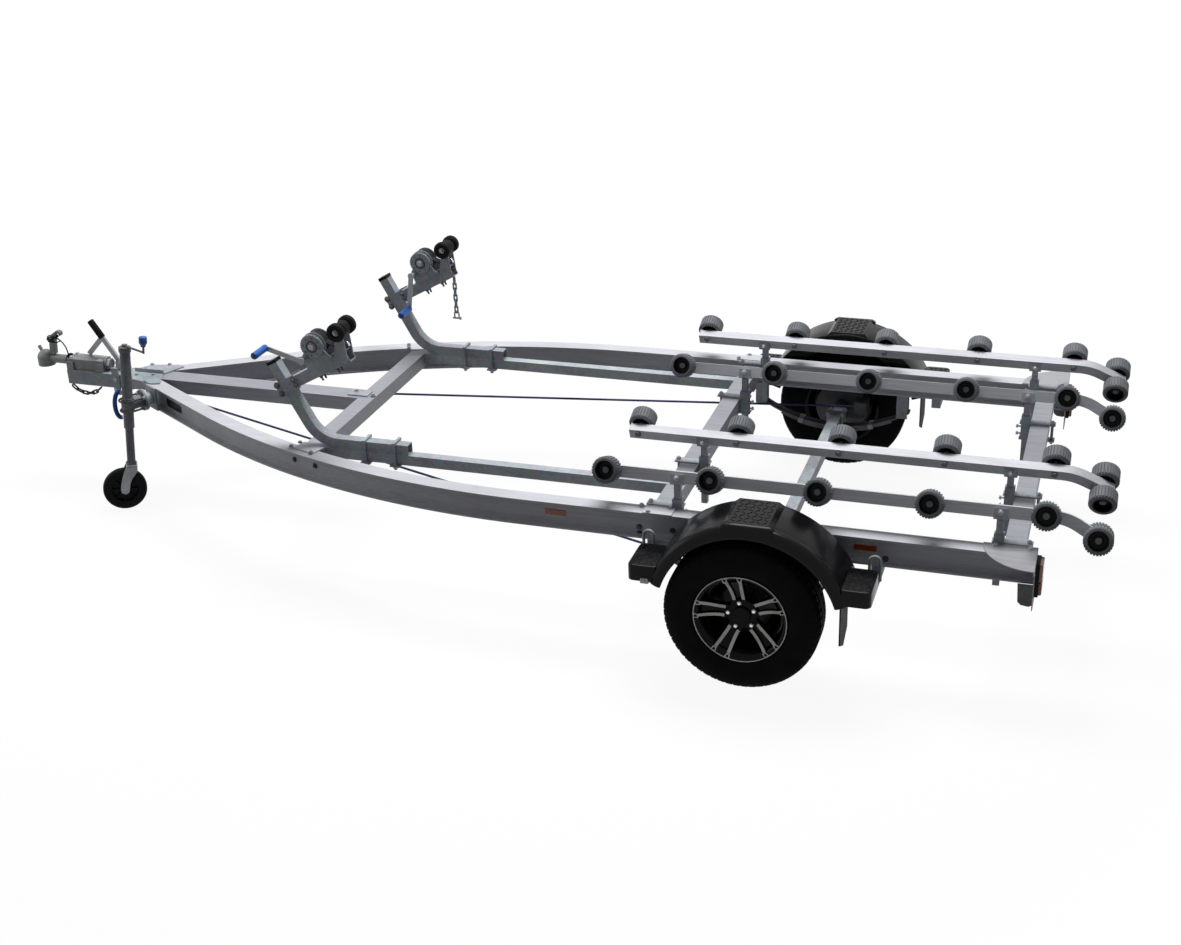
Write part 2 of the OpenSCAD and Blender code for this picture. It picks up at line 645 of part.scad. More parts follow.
module winches() color("gainsboro") placed() each_cradle() arm_frame() difference() {
    union() {
        translate([-drum_s - 50, -cheek_y - ear_t, arm_w / 2]) cube([130, 2 * (cheek_y + ear_t), plate_t]);
        for (y = [cheek_y, -cheek_y - ear_t]) side_plate(y, ear_t) {
            polygon([[-drum_s - 48, arm_w / 2], [-drum_s + 78, arm_w / 2], [-shaft_s + 18, shaft_n],
                [-drum_s + 20, drum_n + 22], [-drum_s - 20, drum_n + 22]]);
            translate([-shaft_s, shaft_n]) circle(r = 18);
        }
        translate([-drum_s, 0, drum_n]) rod_y(18, 2 * cheek_y + 2 * ear_t + 22);
        translate([-drum_s, 0, drum_n]) rod_y(36, 2 * cheek_y - 16);
        translate([-drum_s, cheek_y + ear_t + 6, drum_n]) gear(gear_r, 36, 8);
        translate([-shaft_s, cheek_y + 10, shaft_n]) rod_y(13, 20);
    }
    translate([-shaft_s, cheek_y, shaft_n]) rod_y(winch_pin_r + run_gap, 60);
}
strap_from = [-drum_s - 38.5, drum_n];
strap_to = [-arm_len + 6, arm_w / 2 + 2];
strap_run = strap_to - strap_from;
module winch_straps() color("white") placed() each_cradle() arm_frame()
    translate([strap_from[0], 0, strap_from[1]]) rotate([0, -atan2(strap_run[1], strap_run[0]), 0])
        translate([0, -arm_w / 2 + 5, 0]) cube([norm(strap_run), arm_w - 10, 3]);
chain_top = arm_point(arm_len - 14, -arm_w / 2);
module bow_chain() color("slategray") placed()
    translate([chain_top[0], -cradle_y, chain_top[1] - link_len / 2])
        for (i = [0:chain_links - 1]) translate([0, 0, -i * link_pitch])
            rotate([0, 90, 0]) rotate([i % 2 * 90, 0, 0]) link(link_len, link_wire);

// Handles turn on the winch's pinion shaft
module handle(turn) in_plane(arm_point(shaft_s, shaft_n)) rotate([0, -turn, 0]) {
    translate([0, (cheek_y - 6 + handle_y) / 2, 0]) rod_y(winch_pin_r, handle_y - cheek_y + 6);
    translate([0, handle_y + 3, 0]) rod_y(15, 8);
    translate([0, handle_y, -11]) cube([handle_len, 6, 22]);
    translate([handle_len, handle_y + grip_len / 2, 0]) rod_y(grip_r, grip_len);
}
module left_handle() color("gainsboro") placed() translate([0, cradle_y, 0]) handle(16);
module right_handle() color("gainsboro") placed() translate([0, -cradle_y, 0]) handle(-82);

module bow_roller() in_plane(arm_point(bow_s, bow_n)) {
    rod_y(bow_axle_r, 2 * bow_half - 12);
    rod_y(bow_r - 9, arm_w - 6);
    for (s = [1, -1]) scale([1, s, 1]) translate([0, bow_neck, 0]) rotate([-90, 0, 0]) rotate_extrude()
        polygon([[0, 0], [bow_r - 8, 0], [bow_r, 8], [bow_r, bow_barrel - 8], [bow_r - 3, bow_barrel - 3],
            [bow_r - 8, bow_barrel], [18, bow_barrel], [16, bow_barrel - 8], [0, bow_barrel - 8]]);
}
module left_bow_roller() color("dimgray") placed() translate([0, cradle_y, 0]) bow_roller();
module right_bow_roller() color("dimgray") placed() translate([0, -cradle_y, 0]) bow_roller();

// Roller beams
module beam_frame() both_sides() translate([0, beam_off, beam_z]) rotate([beam_roll, 0, 0]) children();
module tail_frame() translate([tail_start - tail_r * sin(tail_a), 0, -tail_r * (1 - cos(tail_a))])
    rotate([0, -tail_a, 0]) children();
module roller_beams() color("silver") placed() each_cradle() beam_frame() difference() {
    union() {
        translate([tail_start, 0, 0]) box_section(beam_front - tail_start, beam_w, beam_h, tube_wall);
        translate([tail_start, 0, -tail_r]) rotate([90, 0, 0]) rotate([0, 0, 90])
            rotate_extrude(angle = tail_a) translate([tail_r, 0]) difference() {
                square([beam_h, beam_w], center = true);
                square([beam_h - 2 * tube_wall, beam_w - 2 * tube_wall], center = true);
            }
        tail_frame() translate([-tail_len, 0, 0]) box_section(tail_len + eps, beam_w, beam_h, tube_wall);
    }
    for (x = roller_xs) translate([x, 0, pin_up]) rod_y(roller_pin_r + seat_gap, beam_w + 10);
    tail_frame() translate([-tail_pin, 0, 0]) rod_y(roller_pin_r + seat_gap, beam_w + 10);
}
module roller() translate([0, roller_side, 0]) rotate([-90, 0, 0]) rotate_extrude()
    polygon([[roller_pin_r + seat_gap, 0], [roller_r - 6, 0], [roller_r, 6], [roller_r, roller_w - 6],
        [roller_r - 6, roller_w], [0.7 * roller_r, roller_w], [0.66 * roller_r, roller_w - 26],
        [roller_pin_r + seat_gap, roller_w - 26]]);
module rollers() beam_frame() {
    for (x = roller_xs) translate([x, 0, pin_up]) roller();
    tail_frame() translate([-tail_pin, 0, 0]) both_sides() roller();
}
module left_rollers() color("lightgray") placed() translate([0, cradle_y, 0]) rollers();
module right_rollers() color("lightgray") placed() translate([0, -cradle_y, 0]) rollers();

module roller_pin(inner) {
    reach = roller_side + roller_w - 14;
    translate([0, (reach - inner) / 2, 0]) rod_y(roller_pin_r, reach + inner);
    translate([0, roller_side + roller_w - 21, 0]) rod_y(12, 10);
    translate([0, (roller_side + beam_w / 2) / 2, 0]) rod_y(14, roller_side - beam_w / 2);
}
module roller_pins() color("silver") placed() each_cradle() beam_frame() {
    for (x = roller_xs) translate([x, 0, pin_up]) {
        roller_pin(beam_w / 2 + 8);
        translate([0, -beam_w / 2 - 4, 0]) rod_y(12, 8);
    }
    tail_frame() translate([-tail_pin, 0, 0]) both_sides() roller_pin(0);
}

// Uprights ride in square sleeves clamped round the cross members
module beam_uprights() color("lightslategray") placed() each_cradle() for (x = upright_xs) {
    translate([x, 0, 0]) beam_frame() {
        block([saddle_len, 2 * (saddle_in + saddle_wall), plate_t], [0, 0, plate_t / 2 - saddle_drop]);
        for (s = [1, -1]) scale([1, s, 1]) {
            translate([-saddle_len / 2, saddle_in, -saddle_drop])
                cube([saddle_len, saddle_wall, saddle_drop + 12]);
            translate([0, saddle_in + saddle_wall + 3, -2]) rod_y(9, 6);
        }
    }
    both_sides() translate([x - upright_w / 2, beam_off + upright_dy - upright_w / 2, upright_low])
        cube([upright_w, upright_w, beam_z - upright_dz + 1 - upright_low]);
}
sleeve_w = upright_w + 2 * seat_gap + 12;
clamp_w = 40;
module beam_clamp(to) difference() {
    side = cross_w / 2 + 8 + upright_w / 2;
    low = cross_z - plate_t;
    scale([to, 1, 1]) union() {
        for (z = [rail_top, low]) translate([-cross_w / 2 - 26, -clamp_w / 2, z])
            cube([cross_w + 46 + upright_w, clamp_w, plate_t]);
        translate([-cross_w / 2 - 13, 0, low - 14]) cylinder(r = 6, h = cross_h + 2 * plate_t + 26);
        translate([side - sleeve_w / 2, -sleeve_w / 2, low]) cube([sleeve_w, sleeve_w, rail_top + 34 - low]);
    }
    translate([to * side, 0, rail_top])
        cube([upright_w + 2 * seat_gap, upright_w + 2 * seat_gap, big], center = true);
}
module beam_clamps() color("lightslategray") placed() each_cradle() both_sides()
    translate([0, beam_off + upright_dy, 0]) {
        translate([mid_cross_x, 0, 0]) beam_clamp(-1);
        translate([rear_cross_x, 0, 0]) beam_clamp(1);
    }

// Lamps at the rear ends of the rails
lamp_plate_t = 4;
lamp_low = rail_bottom - 40;
lamp_top = rail_top - 18;
module lamp_plates() color("silver") placed() both_sides() {
    translate([-rail_rear, rail_in, rail_top]) linear_extrude(lamp_plate_t) intersection() {
        circle(r = 190);
        square(200);
    }
    translate([-rail_rear - lamp_plate_t, rail_in, 0]) along_x(lamp_plate_t)
        polygon([[0, lamp_low - 50], [104, lamp_low - 50], [104, rail_top - 50], [190, rail_top - 12],
            [190, rail_top + lamp_plate_t], [0, rail_top + lamp_plate_t]]);
}
module tail_lamps() color("firebrick") placed() both_sides()
    translate([-rail_rear - lamp_plate_t - 26, rail_in + 7, lamp_low]) cube([26, 90, lamp_top - lamp_low]);
module side_reflectors() color("orange") placed() both_sides() for (x = [-450, 765])
    translate([x, rail_y + rail_web_t / 2, swivel_z - 11]) cube([84, 4, 22]);

// Nose wheel stand: its own frame has X along the rail and Y out of the web
module stand_frame() translate([stand_foot[0], stand_foot[1], 0]) rotate([0, 0, -rail_nose_a]) children();
module lean_frame() stand_frame() translate([0, stand_off, swivel_z]) rotate([stand_lean, 0, 0]) children();
module fork_frame() lean_frame() rotate([0, 0, fork_turn]) children();
flange_out = (rail_flange_w - rail_web_t) / 2;
swivel_y = flange_out + 48;
swivel_r = 50;
swivel_pin_r = 10;
module swivel_rod(r, from, to) translate([0, (from + to) / 2, swivel_z]) rod_y(r, to - from);
module stand_mount() color("lightslategray") placed() stand_frame() difference() {
    union() {
        block([96, 8, rail_h], [0, flange_out + 4, swivel_z]);
        swivel_rod(30, flange_out + 7, swivel_y - 7);
        swivel_rod(swivel_r, swivel_y - 8, swivel_y);
    }
    swivel_rod(swivel_pin_r + run_gap, swivel_y - 40, swivel_y + 10);
}
leg_gap = 0.5;
crank_len = 140;
module stand_tube() color("silver") placed() {
    stand_frame() {
        swivel_rod(swivel_r, swivel_y + seat_gap, swivel_y + 9);
        swivel_rod(swivel_pin_r, swivel_y - 38, swivel_y + 2);
    }
    difference() {
        union() {
            stand_frame() swivel_rod(30, swivel_y + 8, stand_off);
            lean_frame() {
                translate([0, 0, -stand_down]) cylinder(r = stand_r, h = stand_up + stand_down);
                translate([0, 0, -32]) cylinder(r = stand_r + 6, h = 64);
                translate([0, 0, stand_up - 1]) cylinder(r = stand_r + 4, h = 24);
            }
        }
        lean_frame() translate([0, 0, -stand_down - 10])
            cylinder(r = leg_r + leg_gap, h = stand_up + stand_down - 10);
    }
    lean_frame() translate([0, 0, stand_up + 20]) rotate([0, 0, 190]) {
        cylinder(r = 13, h = 14);
        translate([0, 0, 7]) rod_x(5, crank_len);
        translate([crank_len, 0, 2]) cylinder(r = 5, h = 50);
        translate([crank_len, 0, 36]) cylinder(r1 = 10, r2 = 16, h = 14);
        translate([crank_len, 0, 50]) cylinder(r = 18, h = 30);
    }
}
spindle_r = 9;
module stand_leg() color("gainsboro") placed() lean_frame() translate([0, 0, -fork_drop]) {
    cylinder(r = leg_r, h = fork_drop - stand_down + leg_up);
    cylinder(r = leg_r + 5, h = 10);
    translate([0, 0, -14]) cylinder(r = spindle_r, h = 20);
}
nose_pin_r = 8;
module stand_fork() color("gainsboro") placed() fork_frame() translate([0, 0, -wheel_drop]) {
    top = nose_r + 20;
    difference() {
        block([50, nose_w + 20, 10], [0, 0, top - 5]);
        translate([0, 0, top - 20]) cylinder(r = spindle_r + run_gap, h = 30);
    }
    for (y = [nose_w / 2 + 5, -nose_w / 2 - 10]) side_plate(y, 5) {
        polygon([[-25, top], [25, top], [nose_trail + 10, top - 34], [nose_trail + 20, 0],
            [nose_trail - 20, 0], [nose_trail - 26, top - 60], [-25, top - 34]]);
        translate([nose_trail, 0]) circle(r = 20);
    }
    translate([nose_trail, 0, 0]) rod_y(nose_pin_r, nose_w + 36);
}
nose_half = [[nose_pin_r + run_gap, nose_w / 2], [24, nose_w / 2], [28, nose_w / 2 - 12],
    [62, nose_w / 2 - 12], [66, nose_w / 2 - 2], [nose_r - 14, nose_w / 2], [nose_r, tread_half]];
nose_back = [for (i = [len(nose_half) - 1:-1:0]) [nose_half[i][0], -nose_half[i][1]]];
module nose_wheel() color("dimgray") placed() fork_frame() translate([nose_trail, 0, -wheel_drop])
    rotate([90, 0, 0]) rotate_extrude() polygon(concat(nose_half, nose_back));

// Road wheels: the section of the tyre has round shoulders and walls
rim_gap = 0.3;
rim_half = 70;
shoulder_r = 30;
wall_r = 44;
module tyre_section() {
    translate([rim_r + rim_gap, -rim_half + 2]) square([tyre_r - rim_r - 60, 2 * rim_half - 4]);
    translate([rim_r + rim_gap, -tyre_w / 2 + shoulder_r + 6])
        square([tyre_r - rim_r - rim_gap, tyre_w - 2 * shoulder_r - 12]);
    for (s = [1, -1]) {
        translate([tyre_r - shoulder_r, s * (tyre_w / 2 - shoulder_r - 6)]) circle(r = shoulder_r);
        translate([rim_r + 68, s * (tyre_w / 2 - wall_r)]) circle(r = wall_r);
    }
}
module wheel_frame() translate([0, track_half, axle_z]) rotate([-90, 0, 0]) children();
module tyre() wheel_frame() rotate_extrude($fn = 72) tyre_section();
module left_tyre() color("dimgray") placed() tyre();
module right_tyre() color("dimgray") placed() mirror([0, 1, 0]) tyre();

rim_t = 7;
face_in = hub_out - track_half;
face_t = 34;
spoke_turn = 256;
module rim() wheel_frame() {
    rotate_extrude($fn = 72) {
        translate([rim_r - rim_t, -rim_half]) square([rim_t, 2 * rim_half]);
        for (y = [-rim_half - 6, rim_half - 1]) translate([rim_r - rim_t, y])
            square([rim_lip_r - rim_r + rim_t, 7]);
    }
    translate([0, 0, face_in]) cylinder(r = 62, h = face_t);
    translate([0, 0, face_in]) cylinder(r = 35, h = face_t + 8);
    for (i = [0:4]) rotate([0, 0, spoke_turn + 72 * i]) translate([0, 0, face_in + 8])
        linear_extrude(face_t - 10)
            polygon([[50, -22], [105, -24], [rim_r - 5, -32], [rim_r - 5, 32], [105, 24], [50, 22]]);
}
module left_rim() color("gray") placed() rim();
module right_rim() color("gray") placed() mirror([0, 1, 0]) rim();

module hub() translate([0, 0, axle_z]) difference() {
    union() {
        translate([0, (hub_in + hub_out) / 2, 0]) rod_y(38, hub_out - hub_in);
        translate([0, hub_in + 27, 0]) rod_y(disc_r, 10);
        translate([0, hub_out - 5, 0]) rod_y(60, 10);
    }
    translate([0, (hub_in + hub_out) / 2, 0]) rod_y(stub_r + run_gap, hub_out - hub_in + 10);
}
module left_hub() color("gray") placed() hub();
module right_hub() color("gray") placed() mirror([0, 1, 0]) hub();

left_rail();
right_rail();
drawbar();
cross_members();
cleats();
nose_plates();
stringers();
coupling_base();
coupling_housing();
coupling_head();
coupling_latch();
breakaway_cable();
tow_chain();
axle_beam();
leaf_springs();
spring_hangers();
axle_clamps();
brake_calipers();
brake_cables();
left_mudguard();
right_mudguard();
guard_brackets();
mud_flaps();
winch_posts();
post_clamps();
winch_arms();
winches();
winch_straps();
bow_chain();
post_caps();
roller_beams();
beam_uprights();
beam_clamps();
left_rollers();
right_rollers();
roller_pins();
lamp_plates();
tail_lamps();
side_reflectors();
stand_mount();
brake_lever();
left_tyre();
left_rim();
left_hub();
right_tyre();
right_rim();
right_hub();
stand_tube();
stand_leg();
stand_fork();
nose_wheel();
left_handle();
right_handle();
left_bow_roller();
right_bow_roller();
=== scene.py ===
import json
import math

import bmesh
import bpy
from mathutils import Matrix, Vector


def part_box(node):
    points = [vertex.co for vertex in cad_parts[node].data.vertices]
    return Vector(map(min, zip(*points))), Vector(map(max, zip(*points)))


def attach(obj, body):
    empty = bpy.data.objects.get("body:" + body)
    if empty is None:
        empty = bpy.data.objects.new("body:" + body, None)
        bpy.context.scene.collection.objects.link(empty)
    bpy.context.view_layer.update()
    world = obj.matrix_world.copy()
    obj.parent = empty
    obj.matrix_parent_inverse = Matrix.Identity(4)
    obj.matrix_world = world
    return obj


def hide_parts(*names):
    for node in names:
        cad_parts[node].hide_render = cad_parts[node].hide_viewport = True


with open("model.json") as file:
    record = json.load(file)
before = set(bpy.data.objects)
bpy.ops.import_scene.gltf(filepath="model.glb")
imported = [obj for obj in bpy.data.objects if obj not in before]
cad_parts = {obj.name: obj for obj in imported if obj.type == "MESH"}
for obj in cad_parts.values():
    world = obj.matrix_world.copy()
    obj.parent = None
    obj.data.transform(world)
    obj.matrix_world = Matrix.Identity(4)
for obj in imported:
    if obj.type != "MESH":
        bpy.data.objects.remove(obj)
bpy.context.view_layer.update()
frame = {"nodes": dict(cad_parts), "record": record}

NODES = frame["nodes"]
AXLE_X = sum(corner[0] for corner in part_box("left_tyre")) / 2
MM = 0.001

# Camera: fitted to the photograph, in metres from the axle, with its angles in radians
CAMERA_AT = (AXLE_X - 1.24757, 6.30867, 3.41727)
CAMERA_YAW, CAMERA_PITCH, CAMERA_ROLL = -1.2372, -0.4382, -0.0400
CAMERA_REACH = 100.0
PHOTO_WIDTH, FOCAL_PIXELS, SENSOR_WIDTH = 1181.0, 1671.0, 36.0


def make_camera():
    """The photograph's camera: yaw about Z, pitch below the horizon, then roll about the view line."""
    cos, sin = math.cos, math.sin
    flat = cos(CAMERA_PITCH)
    forward = Vector((flat * cos(CAMERA_YAW), flat * sin(CAMERA_YAW), sin(CAMERA_PITCH)))
    level = Vector((sin(CAMERA_YAW), -cos(CAMERA_YAW), 0))
    upright = level.cross(forward)
    right = cos(CAMERA_ROLL) * level + sin(CAMERA_ROLL) * upright
    up = -sin(CAMERA_ROLL) * level + cos(CAMERA_ROLL) * upright
    data = bpy.data.cameras.new("camera")
    data.sensor_fit, data.sensor_width = "HORIZONTAL", SENSOR_WIDTH
    data.lens = FOCAL_PIXELS * SENSOR_WIDTH / PHOTO_WIDTH
    data.clip_end = CAMERA_REACH
    cam = bpy.data.objects.new("camera", data)
    bpy.context.scene.collection.objects.link(cam)
    axes = Matrix((right, up, -forward)).transposed().to_4x4()
    cam.matrix_world = Matrix.Translation(CAMERA_AT) @ axes
    bpy.context.scene.camera = cam


make_camera()


# Materials
MIX_SHARE, MIX_FIRST, MIX_SECOND, MIX_RESULT = 0, 6, 7, 2  # sockets of the Mix node when it mixes colours
NOISE_ROUGHNESS = 0.55


class Shader:
    """A node tree with short calls for its nodes; an input takes a value or another node's output."""

    def __init__(self, owner, main, sockets):
        owner.use_nodes = True
        self.tree = owner.node_tree
        self.main = self.tree.nodes[main]
        self.feed(self.main, sockets)

    def feed(self, node, sockets):
        for socket, value in sockets.items():
            if hasattr(value, "links"):
                self.tree.links.new(value, node.inputs[socket])
            else:
                node.inputs[socket].default_value = value

    def node(self, kind, sockets, **settings):
        made = self.tree.nodes.new("ShaderNode" + kind)
        for key, value in settings.items():
            setattr(made, key, value)
        self.feed(made, sockets)
        return made

    def place(self):
        return self.node("TexCoord", {}).outputs["Object"]

    def noise(self, scale, detail=4.0, stretch=(1, 1, 1)):
        place = self.node("Mapping", {"Vector": self.place(), "Scale": stretch}).outputs["Vector"]
        sockets = {"Vector": place, "Scale": scale, "Detail": detail, "Roughness": NOISE_ROUGHNESS}
        return self.node("TexNoise", sockets).outputs["Fac"]

    def cells(self, scale):
        return self.node("TexVoronoi", {"Vector": self.place(), "Scale": scale}).outputs["Color"]

    def ramp(self, fac, low, high):
        """Blends between two stops, each a position and a tone."""
        made = self.node("ValToRGB", {"Fac": fac})
        for element, (position, value) in zip(made.color_ramp.elements, (low, high)):
            element.position, element.color = position, tone(value)
        return made.outputs["Color"]

    def mix(self, share, first, second, blend="MIX"):
        sockets = {MIX_SHARE: share, MIX_FIRST: first, MIX_SECOND: second}
        return self.node("Mix", sockets, data_type="RGBA", blend_type=blend).outputs[MIX_RESULT]

    def math(self, operation, first, second):
        return self.node("Math", {0: first, 1: second}, operation=operation).outputs[0]

    def spread(self, value, limits):
        return self.node("MapRange", {"Value": value, **limits}).outputs["Result"]

    def seen_directly(self):
        """1 for rays from the camera and for what metal and glass show, 0 for soft light."""
        rays = self.node("LightPath", {}).outputs
        shown = self.math("MAXIMUM", rays["Is Glossy Ray"], rays["Is Transmission Ray"])
        return self.math("MAXIMUM", rays["Is Camera Ray"], shown)


class Finish(Shader):
    """A material: a Principled shader with a colour, an uneven gloss and a grain."""

    def __init__(self, name, **sockets):
        self.material = bpy.data.materials.new(name)
        named = {socket.replace("_", " "): value for socket, value in sockets.items()}
        super().__init__(self.material, "Principled BSDF", named)

    def colour(self, out):
        self.feed(self.main, {"Base Color": out})

    def rough(self, fac, low, high):
        self.feed(self.main, {"Roughness": self.spread(fac, {"To Min": low, "To Max": high})})

    def bump(self, fac, strength, distance):
        made = self.node("Bump", {"Height": fac, "Strength": strength, "Distance": distance})
        self.feed(self.main, {"Normal": made.outputs["Normal"]})


def tone(value):
    """A grey level or an RGB triple as RGBA."""
    return (value, value, value, 1) if isinstance(value, (int, float)) else (*value, 1)


def aluminium(name, dark, light, stain, metallic):
    """Extruded aluminium: fine draw lines along X, and handling stains."""
    s = Finish(name, Metallic=metallic, Specular_IOR_Level=0.2)
    streak = s.noise(scale=9.0, detail=6.0, stretch=(0.6, 14, 14))
    smudge = s.ramp(s.noise(scale=2.6, detail=6.0), (0.45, 0.0), (0.75, 0.45))
    s.colour(s.mix(smudge, s.ramp(streak, (0.3, dark), (0.7, light)), tone(stain)))
    s.rough(s.noise(scale=5.0, detail=6.0, stretch=(1, 8, 8)), low=0.34, high=0.55)
    s.bump(streak, strength=0.05, distance=0.0004)
    return s.material


def galvanised(name, dark, light, metallic):
    """Hot-dip galvanised steel: spangle cells over a cloudy bluish grey."""
    s = Finish(name, Metallic=metallic, Specular_IOR_Level=0.2)
    cloud = s.ramp(s.noise(scale=6.0, detail=6.0), (0.3, dark), (0.7, light))
    s.colour(s.mix(0.25, cloud, s.cells(scale=70.0), "SOFT_LIGHT"))
    s.rough(s.noise(scale=24.0, detail=3.0), low=0.42, high=0.66)
    s.bump(s.noise(scale=60.0), strength=0.10, distance=0.0006)
    return s.material


def metal(name, dark, light, metallic, low, high, grain, strength):
    """Plated, cast or machined metal: a cloudy colour, uneven gloss and a fine grain."""
    s = Finish(name, Metallic=metallic, Specular_IOR_Level=0.25)
    s.colour(s.ramp(s.noise(scale=12.0, detail=6.0), (0.3, dark), (0.7, light)))
    s.rough(s.noise(scale=26.0), low, high)
    s.bump(s.noise(grain, detail=3.0), strength, distance=0.0006)
    return s.material


def soft(name, dark, light, low, high, grain, strength, shine):
    """Rubber or moulded plastic: a mottled colour, a dusty film and a fine grain."""
    s = Finish(name, Specular_IOR_Level=shine)
    s.colour(s.ramp(s.noise(scale=8.0, detail=5.0), (0.3, dark), (0.75, light)))
    s.rough(s.noise(scale=18.0), low, high)
    s.bump(s.noise(grain, detail=3.0), strength, distance=0.0006)
    return s.material


def gloss(name, dark, light, rough, shine, coat):
    """Paint, lens or polished plastic."""
    s = Finish(name, Specular_IOR_Level=shine, Coat_Weight=coat, Coat_Roughness=0.08)
    s.colour(s.ramp(s.noise(scale=7.0, detail=3.0), (0.35, dark), (0.7, light)))
    s.rough(s.noise(scale=20.0, detail=3.0), rough, rough + 0.10)
    s.bump(s.noise(scale=90.0, detail=2.0), strength=0.03, distance=0.0003)
    return s.material


# Finishes, in a table for each function that makes them
ALUMINIUM = dict(  # dark, light, stain, metallic
    aluminium=((0.58, 0.585, 0.63), (0.70, 0.705, 0.76), (0.44, 0.44, 0.46), 0.05),
    dull_aluminium=((0.30, 0.31, 0.345), (0.41, 0.42, 0.465), (0.25, 0.26, 0.28), 0.22),
    plate_aluminium=((0.36, 0.36, 0.385), (0.47, 0.47, 0.50), (0.27, 0.27, 0.28), 0.2))
GALVANISED = dict(  # dark, light, metallic
    galvanised=((0.265, 0.29, 0.32), (0.45, 0.48, 0.52), 0.14),
    bright_galvanised=((0.36, 0.39, 0.425), (0.54, 0.575, 0.615), 0.12),
    # a darker copy of galvanised: painted shade for parts that sit in shadow
    galvanised_painted_shade=((0.13, 0.14, 0.15), (0.24, 0.25, 0.265), 0.12))
METAL = dict(  # dark, light, metallic, lowest and highest roughness, grain, strength of the grain
    zinc_plate=((0.38, 0.40, 0.43), (0.56, 0.57, 0.60), 0.22, 0.30, 0.5, 120.0, 0.06),
    cast_zinc=((0.17, 0.175, 0.18), (0.29, 0.295, 0.30), 0.25, 0.42, 0.62, 140.0, 0.2),
    spring_steel=((0.05, 0.05, 0.055), (0.12, 0.12, 0.13), 0.3, 0.45, 0.65, 90.0, 0.12),
    dark_steel=((0.03, 0.03, 0.033), (0.08, 0.08, 0.085), 0.3, 0.4, 0.6, 110.0, 0.12),
    machined=((0.20, 0.195, 0.19), (0.32, 0.315, 0.31), 0.55, 0.28, 0.42, 300.0, 0.05),
    chrome=((0.60, 0.60, 0.61), (0.74, 0.74, 0.75), 0.85, 0.10, 0.20, 300.0, 0.03))
SOFT = dict(  # dark, light, lowest and highest roughness, grain, strength of the grain, shine
    grey_rubber=((0.15, 0.162, 0.178), (0.21, 0.225, 0.245), 0.55, 0.8, 160.0, 0.2, 0.4),
    black_rubber=((0.005, 0.005, 0.006), (0.012, 0.012, 0.013), 0.5, 0.72, 130.0, 0.2, 0.08),
    black_plastic=((0.003, 0.003, 0.0035), (0.007, 0.007, 0.008), 0.30, 0.45, 220.0, 0.2, 0.07),
    guard_black=((0.002, 0.002, 0.0026), (0.005, 0.005, 0.006), 0.16, 0.30, 240.0, 0.12, 0.12),
    tyre=((0.003, 0.003, 0.003), (0.007, 0.007, 0.007), 0.6, 0.85, 110.0, 0.25, 0.05),
    cable_blue=((0.025, 0.035, 0.11), (0.045, 0.06, 0.18), 0.35, 0.55, 90.0, 0.2, 0.2),
    webbing=((0.010, 0.010, 0.011), (0.024, 0.024, 0.026), 0.7, 0.9, 400.0, 0.5, 0.2),
    blue_plastic=((0.006, 0.085, 0.42), (0.014, 0.14, 0.60), 0.3, 0.45, 180.0, 0.15, 0.35))
GLOSS = dict(  # dark, light, roughness, shine, coat
    rim_black=((0.002, 0.002, 0.0025), (0.004, 0.004, 0.005), 0.14, 0.07, 0.0),
    red_lens=((0.30, 0.010, 0.008), (0.48, 0.02, 0.012), 0.12, 0.5, 0.5),
    amber_lens=((0.50, 0.09, 0.006), (0.66, 0.13, 0.010), 0.15, 0.3, 0.3))
KINDS = ((aluminium, ALUMINIUM), (galvanised, GALVANISED), (metal, METAL), (soft, SOFT), (gloss, GLOSS))
FINISHES = {name: make(name, *row) for make, rows in KINDS for name, row in rows.items()}
SLOT_OF = {part["node"]: part["material_slot"] for part in frame["record"]["subparts"]}
FINISH_OF = dict(  # nodes whose finish isn't the one that their slot names
    drawbar="dull_aluminium", cross_members="dull_aluminium", lamp_plates="plate_aluminium",
    post_clamps="galvanised", winches="galvanised", stringers="bright_galvanised",
    # the stand's tube and leg and the roller pins take the darker galvanised, which paints shade on them
    stand_tube="galvanised_painted_shade", stand_leg="galvanised_painted_shade", roller_pins="galvanised_painted_shade", tow_chain="dark_steel",
    left_hub="dark_steel", right_hub="dark_steel", brake_calipers="spring_steel")
NODE_EDGE, EDGE_STEPS, EDGE_ANGLE = 1.2, 2, 40.0


def round_edges(obj, width):
    """A bevel that catches light along the sharp edges, its width in millimetres."""
    bevel = obj.modifiers.new("edges", "BEVEL")
    bevel.width, bevel.segments, bevel.limit_method = width * MM, EDGE_STEPS, "ANGLE"
    bevel.angle_limit = math.radians(EDGE_ANGLE)


def dress_nodes():
    """Every CAD node gets its finish and a small bevel."""
    for name, obj in NODES.items():
        obj.data.materials.clear()
        obj.data.materials.append(FINISHES[FINISH_OF.get(name, SLOT_OF[name])])
        round_edges(obj, NODE_EDGE)


dress_nodes()


# Building: geometry is made in millimetres from the axle, as (points, faces), and gathered into pieces
ROOT = Matrix.Translation((AXLE_X, 0, 0)) @ Matrix.Diagonal((MM, MM, MM, 1))
BOTH = (1, -1)


def move(x, y, z):
    return Matrix.Translation((x, y, z))


def turn(degrees, axis):
    return Matrix.Rotation(math.radians(degrees), 4, axis)


def flip_y(side):
    return Matrix.Diagonal((1, side, 1, 1))


def facing(direction):
    """A frame whose Z runs along the direction."""
    return Vector(direction).to_track_quat("Z", "Y").to_matrix().to_4x4()


OUTWARD, FORWARD, BACKWARD = facing((0, 1, 0)), facing((1, 0, 0)), facing((-1, 0, 0))
DOWNWARD, ALONG_Y = turn(180, "X"), turn(90, "X")


def sin_of(degrees):
    return math.sin(math.radians(degrees))


def cos_of(degrees):
    return math.cos(math.radians(degrees))


def polar(r, degrees, z):
    return (r * cos_of(degrees), r * sin_of(degrees), z)


